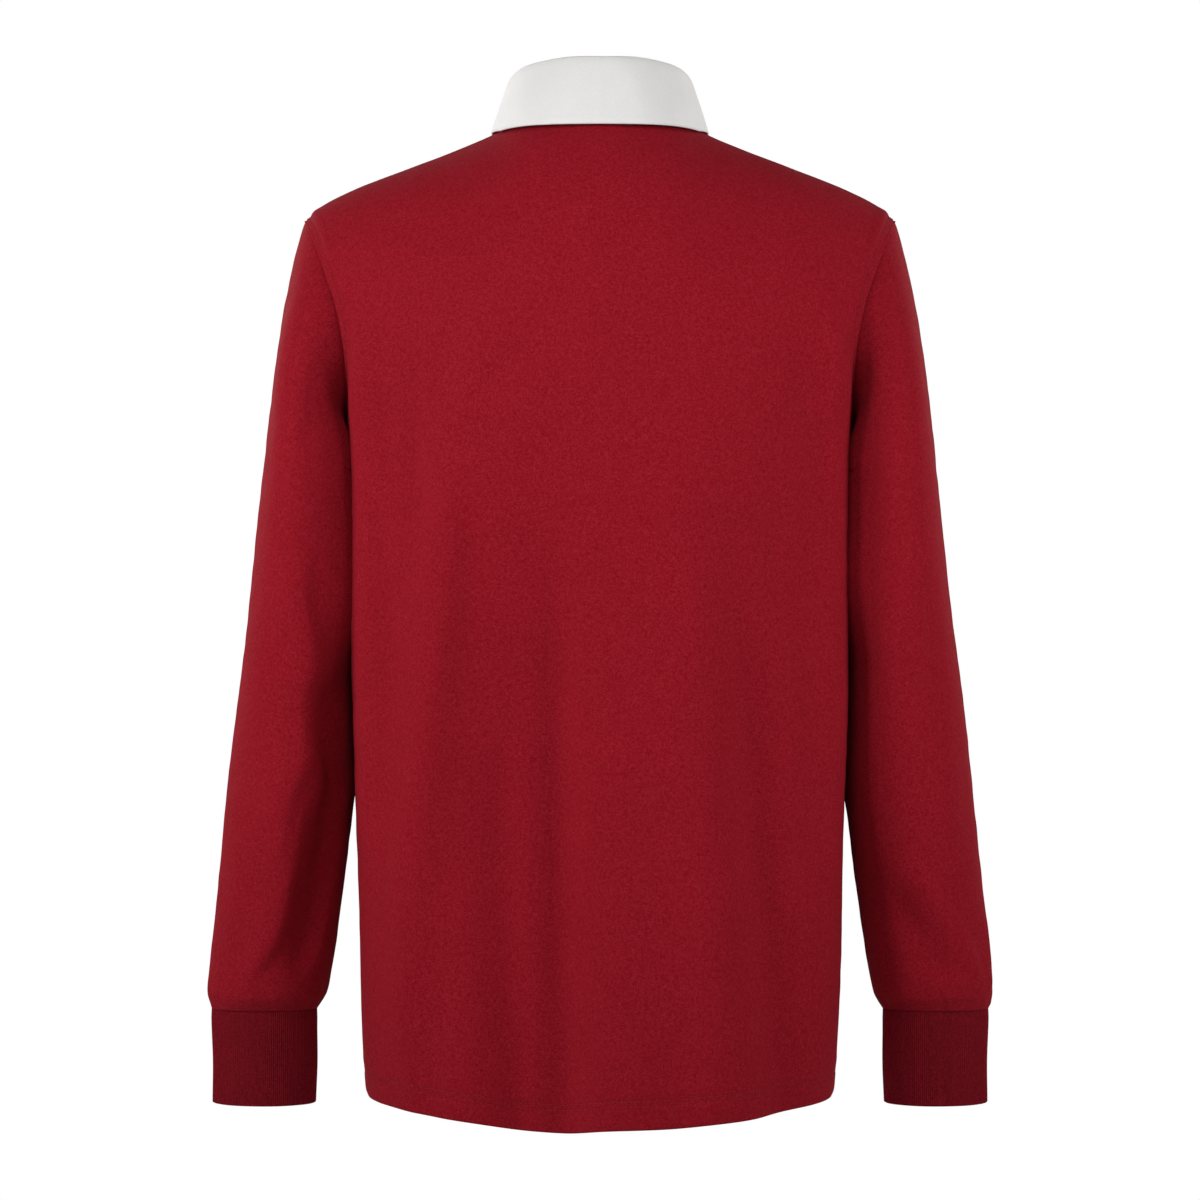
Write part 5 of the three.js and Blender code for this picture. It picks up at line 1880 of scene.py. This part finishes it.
@dataclass
class Placket:
    """The buttoned opening at the middle of the front: a band below, a band above, and buttons."""

    trunk: Trunk
    cloth: float = 1.2
    half_over: float = 16.5
    half_under: float = 14.5
    top_ease: float = 0.6
    bottom_over: float = -214.0
    bottom_under: float = -209.7
    slit_bottom: float = -210.0
    slit_half: float = 14.8
    over_lift: float = 0.5
    stitch_inset: float = 2.2
    puff: float = 0.28
    stitch_sink: float = 0.22
    button_sink: float = 0.3
    box_height: float = 24.0
    hole_half: float = 8.6
    hole_side: float = 0.95
    softness: Unevenness = Unevenness(83, 26, 0.1)
    rows: int = 110
    columns: int = 31
    heights: tuple[float, ...] = (-84.0, -130.0, -176.0)

    def grid(self, half: float, lift: float, bottom: float) -> tuple[Array, Array]:
        """A strip of points on the front panel, and its normals.

        Args:
            half: Half its width.
            lift: How far outside the panel it lies.
            bottom: The height of its lower end.

        Returns:
            The points and their normals.
        """
        x = np.linspace(-half, half, self.columns)[None, :]
        top = self.trunk.neckline(Face.FRONT, x) - self.top_ease
        z = lerp(top, bottom, np.linspace(0, 1, self.rows)[:, None])
        x = x + 0 * z
        points = np.stack([x, self.trunk.depth(Face.FRONT, x, z), z], -1)
        normals = facing(grid_normals(points), np.array([0.0, -1.0, 0.0]))
        normals[..., 0] = 0
        normals = unit(normals)
        return points + normals * lift, normals

    def band(
        self, name: str, half: float, lift: float, bottom: float, sewn: bool
    ) -> bpy.types.Object:
        """Makes one band.

        Args:
            name: The piece's name.
            half: Half its width.
            lift: How far its inner face is outside the panel.
            bottom: The height of its lower end.
            sewn: Whether its edges are pressed down by topstitching.

        Returns:
            The new object.
        """
        points, normals = self.grid(half, lift, bottom)
        x, z = points[..., 0], points[..., 2]
        edge = np.minimum(half - np.abs(x), z - bottom)
        puff = self.puff * smoothstep(0, 4.5, edge)
        if sewn:
            puff -= self.stitch_sink * bell(edge, self.stitch_inset, 0.7)
            for height in self.heights:
                away = np.hypot(x, z - height)
                puff -= self.button_sink * bell(away, 0, 7)
        puff += self.softness.lift(x, z) * smoothstep(1, 7, edge)
        outer = points + normals * (self.cloth - 0.15 + puff)[..., None]
        return Shell(outer, points, np.stack([x, z], -1)).piece(name)

    def over(self, name: str) -> bpy.types.Object:
        """Makes the upper band, which is topstitched."""
        return self.band(name, self.half_over, self.over_lift, self.bottom_over, True)

    def under(self, name: str) -> bpy.types.Object:
        """Makes the lower band, which lies in the slit."""
        return self.band(name, self.half_under, -self.cloth, self.bottom_under, False)

    def slit(self) -> tuple[tuple[float, ...], tuple[float, ...]]:
        """The lowest and highest corners of the box that is cut out of the front for it."""
        return (-self.slit_half, -200, self.slit_bottom), (self.slit_half, -20, 40)

    def stitch_rows(self) -> list[tuple[Array, Array]]:
        """The topstitching round the upper band, in one line down, across and up, and a box."""
        half = self.half_over - self.stitch_inset
        low = self.bottom_over + self.stitch_inset
        rows = []
        side_z = np.linspace(self.trunk.front_neck - 2, low, 60)
        for x in (-half, half):
            rows.append(self.laid(0 * side_z + x, side_z, 0.06))
        across = np.linspace(-half, half, 16)
        for z in (low, low + self.box_height):
            rows.append(self.laid(across, 0 * across + z, 0.06))
        return rows

    def laid(self, x: Array, z: Array, lift: float) -> tuple[Array, Array]:
        """A path laid on the upper band.

        Args:
            x: Its places across.
            z: Its heights.
            lift: How far above the band it lies.

        Returns:
            The path's points and normals.
        """
        points = np.stack([x, self.trunk.depth(Face.FRONT, x, z), z], -1)
        normals = unit(self.trunk.slope(points))
        return points + normals * (self.over_lift + self.cloth + lift), normals

    def seat(self, height: float) -> tuple[Array, Array]:
        """Where a button sits.

        Args:
            height: Its height.

        Returns:
            The middle of its back, and the way it faces.
        """
        z = np.array(height)
        place = np.array([0.0, float(self.trunk.depth(Face.FRONT, 0 * z, z)), height])
        normal = self.trunk.slope(place)
        normal[0] = 0
        normal = unit(normal)
        return place + normal * (self.over_lift + self.cloth + 0.3), normal

    def buttonhole_rows(self) -> list[tuple[Array, Array]]:
        """The close stitching round each upright buttonhole."""
        rows = []
        for height in self.heights:
            for side in (-1.0, 1.0):
                z = np.linspace(height - self.hole_half, height + self.hole_half, 24)
                rows.append(self.laid(0 * z + side * self.hole_side, z, 0.12))
        return rows


@dataclass
class Button:
    """A dished button with four thread holes."""

    radius: float = 6.6
    thickness: float = 3.0
    rim: float = 1.5
    dish: float = 0.8
    hole: float = 0.9
    hole_depth: float = 1.5
    bar: float = 0.25
    spacing: float = 1.7
    thread_shift: float = 0.22
    rings: int = 44
    sides: int = 96

    def height(self, x: Array, y: Array) -> Array:
        """The height of the button's face.

        Args:
            x: Places across it.
            y: Places up it.

        Returns:
            The height at each place.
        """
        r = np.hypot(x, y)
        face = self.thickness - self.dish
        lip = self.dish * bell(r, self.radius - self.rim * 0.62, self.rim * 0.55)
        bar = self.bar * bell(r, 0, 3.2)
        total = face + lip + bar
        for sx in (-1, 1):
            for sy in (-1, 1):
                away = np.hypot(x - sx * self.spacing, y - sy * self.spacing)
                hole = 1 - smoothstep(self.hole - 0.28, self.hole + 0.12, away)
                total = total - self.hole_depth * hole
        return total

    def build(self, name: str, seat: Array, normal: Array) -> bpy.types.Object:
        """Makes the button.

        Args:
            name: The piece's name.
            seat: The middle of its back.
            normal: The way it faces.

        Returns:
            The new object.
        """
        flat = self.radius - 0.55
        r = np.linspace(0, flat, self.rings)[1:]
        angle = TURN * np.arange(self.sides) / self.sides
        x, y = r[:, None] * np.cos(angle), r[:, None] * np.sin(angle)
        rows = [np.stack([x, y, self.height(x, y)], -1)]
        edge_height = float(self.height(np.array(flat), np.array(0.0)))
        for out, z in self.side_profile(edge_height):
            ring = [out * np.cos(angle), out * np.sin(angle), np.full_like(angle, z)]
            rows.append(np.stack(ring, -1)[None])
        grid = np.concatenate(rows)
        count = len(grid) * self.sides
        middle = float(self.height(np.array(0.0), np.array(0.0)))
        local = np.concatenate([grid.reshape(-1, 3), [[0, 0, middle], [0, 0, 0]]])
        faces = []
        for i in range(len(grid) - 1):
            for k in range(self.sides):
                a, b = i * self.sides + k, i * self.sides + (k + 1) % self.sides
                faces.append((a, a + self.sides, b + self.sides, b))
        last = (len(grid) - 1) * self.sides
        for k in range(self.sides):
            after = (k + 1) % self.sides
            faces.append((count, k, after))
            faces.append((count + 1, last + after, last + k))
        across = np.array([1.0, 0, 0])
        axes = np.stack([across, np.cross(normal, across), normal])
        return link_mesh(name, seat + local @ axes, faces)

    def side_profile(self, top: float) -> list[tuple[float, float]]:
        """The rounded side, from the face round to the back.

        Args:
            top: The face's height at its edge.

        Returns:
            Each ring's radius and height.
        """
        r = self.radius
        rounded = [(r - 0.28, top - 0.12), (r - 0.08, top - 0.38), (r, top - 0.75)]
        return rounded + [(r, 1.0), (r - 0.2, 0.45), (r - 0.7, 0.1), (r - 1.3, 0.0), (r * 0.4, 0.0)]

    def threads(self, seat: Array, normal: Array) -> list[tuple[Array, Array]]:
        """The two upright bars of thread that hold the button.

        Args:
            seat: The middle of the button's back.
            normal: The way it faces.

        Returns:
            Each thread's path and normals.
        """
        across = np.array([1.0, 0, 0])
        up = np.cross(normal, across)
        rows = []
        for side in (-1, 1):
            for shift in (-self.thread_shift, self.thread_shift):
                t = np.linspace(-1, 1, 9)
                arch = self.thickness - self.dish + 0.22 + 0.12 * (1 - t * t)
                line = seat + np.outer(np.full(9, side * self.spacing + shift), across)
                line = line + np.outer(t * (self.spacing + 0.3), up) + np.outer(arch, normal)
                rows.append((line, np.repeat(normal[None], 9, 0)))
        return rows


# The studio


@dataclass(frozen=True)
class SoftLight:
    """A large soft lamp."""

    name: str
    place: tuple[float, float, float]
    aim: tuple[float, float, float]
    size: tuple[float, float]
    power: float
    spread: float = 180.0

    def build(self) -> None:
        """Adds the lamp."""
        light = bpy.data.lights.new(self.name, "AREA")
        light.shape = "RECTANGLE"
        light.size, light.size_y = self.size
        light.energy = self.power
        light.spread = math.radians(self.spread)
        lamp = bpy.data.objects.new(self.name, light)
        lamp.location = self.place
        turn = Vector(self.aim) - Vector(self.place)
        lamp.rotation_mode = "QUATERNION"
        lamp.rotation_quaternion = turn.to_track_quat("-Z", "Y")
        lamp.visible_camera = False
        bpy.context.scene.collection.objects.link(lamp)


@dataclass(frozen=True)
class Studio:
    """Plain pale floor, soft lamps and the camera."""

    camera_distance: float = 2.5
    camera_height: float = -0.3426
    lens: float = 101.35
    sensor: float = 36.0
    ambient: float = 0.05
    floor_height: float = -1.0
    floor_radius: float = 1.15
    LAMPS: ClassVar[tuple[SoftLight, ...]] = (
        SoftLight("lamp_left", (1.24, 0.77, -0.12), (0.0, 0.0, -0.22), (0.8, 0.8), 4.9, 90.0),
        SoftLight("lamp_right", (-1.22, 0.78, -0.12), (0.0, 0.0, -0.22), (0.8, 0.8), 3.8, 90.0),
        SoftLight("lamp_high", (0.12, 1.26, 0.5), (0.0, 0.0, -0.2), (0.9, 0.7), 7.2),
        SoftLight("lamp_front_left", (1.0, -1.15, 0.35), (0.0, 0.0, -0.25), (0.9, 0.9), 15.0),
        SoftLight("lamp_front_right", (-1.05, -1.05, 0.2), (0.0, 0.0, -0.25), (0.9, 0.9), 11.0),
    )

    def build(self) -> None:
        """Adds the floor, the lamps, the sky and the camera."""
        self.floor()
        self.sky()
        for lamp in self.LAMPS:
            lamp.build()
        self.camera()

    def floor(self) -> None:
        """Adds the round floor, below the camera's view."""
        sides = 96
        angle = TURN * np.arange(sides) / sides
        radius = self.floor_radius / MM
        points = np.stack([radius * np.cos(angle), radius * np.sin(angle)], -1)
        vertices = np.concatenate([points, np.full((sides, 1), self.floor_height / MM)], 1)
        disc = link_mesh("floor", vertices, [tuple(range(sides))])
        r = Recipe("pale_floor")
        tone = r.tones(r.noise(r.place(), 3, 2), [(0.3, grey(0.82)), (0.7, grey(0.86))])
        disc.data.materials.append(r.finish(tone, 0.9, 0.2))

    def sky(self) -> None:
        """Makes the backdrop white, with a weaker light of its own."""
        world = bpy.data.worlds.new("white_backdrop")
        bpy.context.scene.world = world
        world.use_nodes = True
        nodes, links = world.node_tree.nodes, world.node_tree.links
        nodes.clear()
        mixed = nodes.new("ShaderNodeMixShader")
        for socket, strength in ((mixed.inputs[1], self.ambient), (mixed.inputs[2], 1.0)):
            light = nodes.new("ShaderNodeBackground")
            light.inputs["Strength"].default_value = strength
            light.inputs["Color"].default_value = (1, 1, 1, 1)
            links.new(light.outputs[0], socket)
        path = nodes.new("ShaderNodeLightPath")
        out = nodes.new("ShaderNodeOutputWorld")
        links.new(path.outputs["Is Camera Ray"], mixed.inputs[0])
        links.new(mixed.outputs[0], out.inputs["Surface"])

    def camera(self) -> None:
        """Adds the camera, level and square on to the back, and keeps colours as they are lit."""
        bpy.context.scene.view_settings.view_transform = "Standard"
        data = bpy.data.cameras.new("camera")
        data.lens = self.lens
        data.sensor_width = self.sensor
        camera = bpy.data.objects.new("camera", data)
        camera.location = (0, self.camera_distance, self.camera_height)
        camera.rotation_euler = (math.pi / 2, 0, math.pi)
        bpy.context.scene.collection.objects.link(camera)
        bpy.context.scene.camera = camera


# Assembly


def cut_slit(piece: bpy.types.Object, low: tuple[float, ...], high: tuple[float, ...]) -> None:
    """Cuts a box out of a piece.

    Args:
        piece: The piece.
        low: The box's lowest corner.
        high: The box's highest corner.
    """
    corners = np.array([[(low, high)[k >> n & 1][n] for n in range(3)] for k in range(8)], float)
    sides = [(0, 2, 3, 1), (4, 5, 7, 6), (0, 1, 5, 4), (2, 6, 7, 3), (0, 4, 6, 2), (1, 3, 7, 5)]
    cutter = link_mesh("slit_cutter", corners, sides)
    cut = piece.modifiers.new("slit", "BOOLEAN")
    cut.object = cutter
    cut.operation = "DIFFERENCE"
    cut.solver = "EXACT"
    graph = bpy.context.evaluated_depsgraph_get()
    mesh = bpy.data.meshes.new_from_object(piece.evaluated_get(graph))
    piece.modifiers.clear()
    piece.data = mesh
    close = bmesh.new()
    close.from_mesh(mesh)
    bmesh.ops.remove_doubles(close, verts=close.verts, dist=1e-6)
    bmesh.ops.triangulate(close, faces=close.faces)
    alike: dict[frozenset[int], list[bmesh.types.BMFace]] = {}
    for face in close.faces:
        alike.setdefault(frozenset(vert.index for vert in face.verts), []).append(face)
    doubled = [face for faces in alike.values() if len(faces) > 1 for face in faces]
    bmesh.ops.delete(close, geom=doubled, context="FACES")
    open_edges = [edge for edge in close.edges if len(edge.link_faces) != 2]
    LOG.info("%s: %d open edges after the slit", piece.name, len(open_edges))
    close.to_mesh(mesh)
    close.free()
    mesh.polygons.foreach_set("use_smooth", [True] * len(mesh.polygons))
    bpy.data.objects.remove(cutter)


def face_area(piece: bpy.types.Object) -> float:
    """Half the area of a thin piece's mesh, in square metres, which is about its cloth."""
    return sum(face.area for face in piece.data.polygons) / 2


def report(piece: bpy.types.Object) -> None:
    """Logs a piece's name, size and area."""
    faces = len(piece.data.polygons)
    LOG.info("%s: %d faces, %.4f m2 of cloth", piece.name, faces, face_area(piece))


def main() -> None:
    """Builds the shirt piece by piece, then the studio."""
    logging.basicConfig(level=logging.INFO, format="%(name)s %(message)s")
    trunk = Trunk()
    jersey = KnitJersey().material()
    rib = CuffRib().material()
    twill = CottonTwill().material()
    rubber = ButtonRubber().material()
    red_thread = SewingThread("red_sewing_thread", (0.185, 0.0065, 0.013)).material()
    white_thread = SewingThread("white_sewing_thread", (0.80, 0.79, 0.77)).material()

    body_creases = {Face.BACK: BACK_CREASES, Face.FRONT: FRONT_CREASES}
    panels: dict[Face, Panel] = {}
    for face, seed in ((Face.BACK, 11), (Face.FRONT, 21)):
        soft = (Unevenness(seed, 90, 0.55, 1.8), Unevenness(seed + 1, 24, 0.16))
        panels[face] = Panel(trunk, face, body_creases[face], soft)
    placket = Placket(trunk)
    back = dress(panels[Face.BACK].piece("back_panel"), jersey, ["back"])
    front = panels[Face.FRONT].piece("front_panel")
    cut_slit(front, *placket.slit())
    dress(front, jersey, ["front"])
    back_sewing = Stitching().piece("back_stitching", panels[Face.BACK].stitch_rows())
    front_sewing = Stitching().piece("front_stitching", panels[Face.FRONT].stitch_rows())
    for piece in (back_sewing, front_sewing):
        dress(piece, red_thread)
    for piece in (back, front, back_sewing, front_sewing):
        report(piece)

    sleeve_creases = {Hand.LEFT: LEFT_SLEEVE_CREASES, Hand.RIGHT: RIGHT_SLEEVE_CREASES}
    for hand in Hand:
        word = hand.name.lower()
        soft = (Unevenness(30 + hand.value, 70, 0.4, 1.8), Unevenness(40 + hand.value, 20, 0.14))
        maker = Sleeve(trunk, hand, sleeve_creases[hand], soft, 50 + hand.value)
        sleeve = maker.build(f"sleeve_cloth_{word}")
        dress(sleeve, jersey, [f"sleeve_{word}"])
        cuff = Cuff(hand, 60 + hand.value).build(f"cuff_rib_{word}")
        dress(cuff, rib, [f"cuff_{word}"])
        report(sleeve)
        report(cuff)

    collar = dress(Collar(trunk).build("collar_twill"), twill, ["collar"])
    over = placket.over("placket_over_twill")
    under = placket.under("placket_under_twill")
    dress(over, twill, ["placket_over"])
    dress(under, twill, ["placket_under"])
    topstitch = Stitching(2.6, 1.9, 0.2).piece("placket_stitching", placket.stitch_rows())
    holes = Stitching(0.75, 1.5, 0.3, 12.0).piece("buttonhole_stitching", placket.buttonhole_rows())
    button_threads: list[tuple[Array, Array]] = []
    for number, height in enumerate(placket.heights, 1):
        seat, normal = placket.seat(height)
        button = Button()
        made = button.build(f"button_rubber_{number}", seat, normal)
        dress(made, rubber, [f"button_{number}"])
        button_threads += button.threads(seat, normal)
        report(made)
    sewn_on = Stitching(4.2, 3.9, 0.22).piece("button_threads", button_threads)
    for piece in (topstitch, holes, sewn_on):
        dress(piece, white_thread)
    for piece in (collar, over, under, topstitch, holes, sewn_on):
        report(piece)

    Studio().build()


if __name__ == "__main__":
    main()
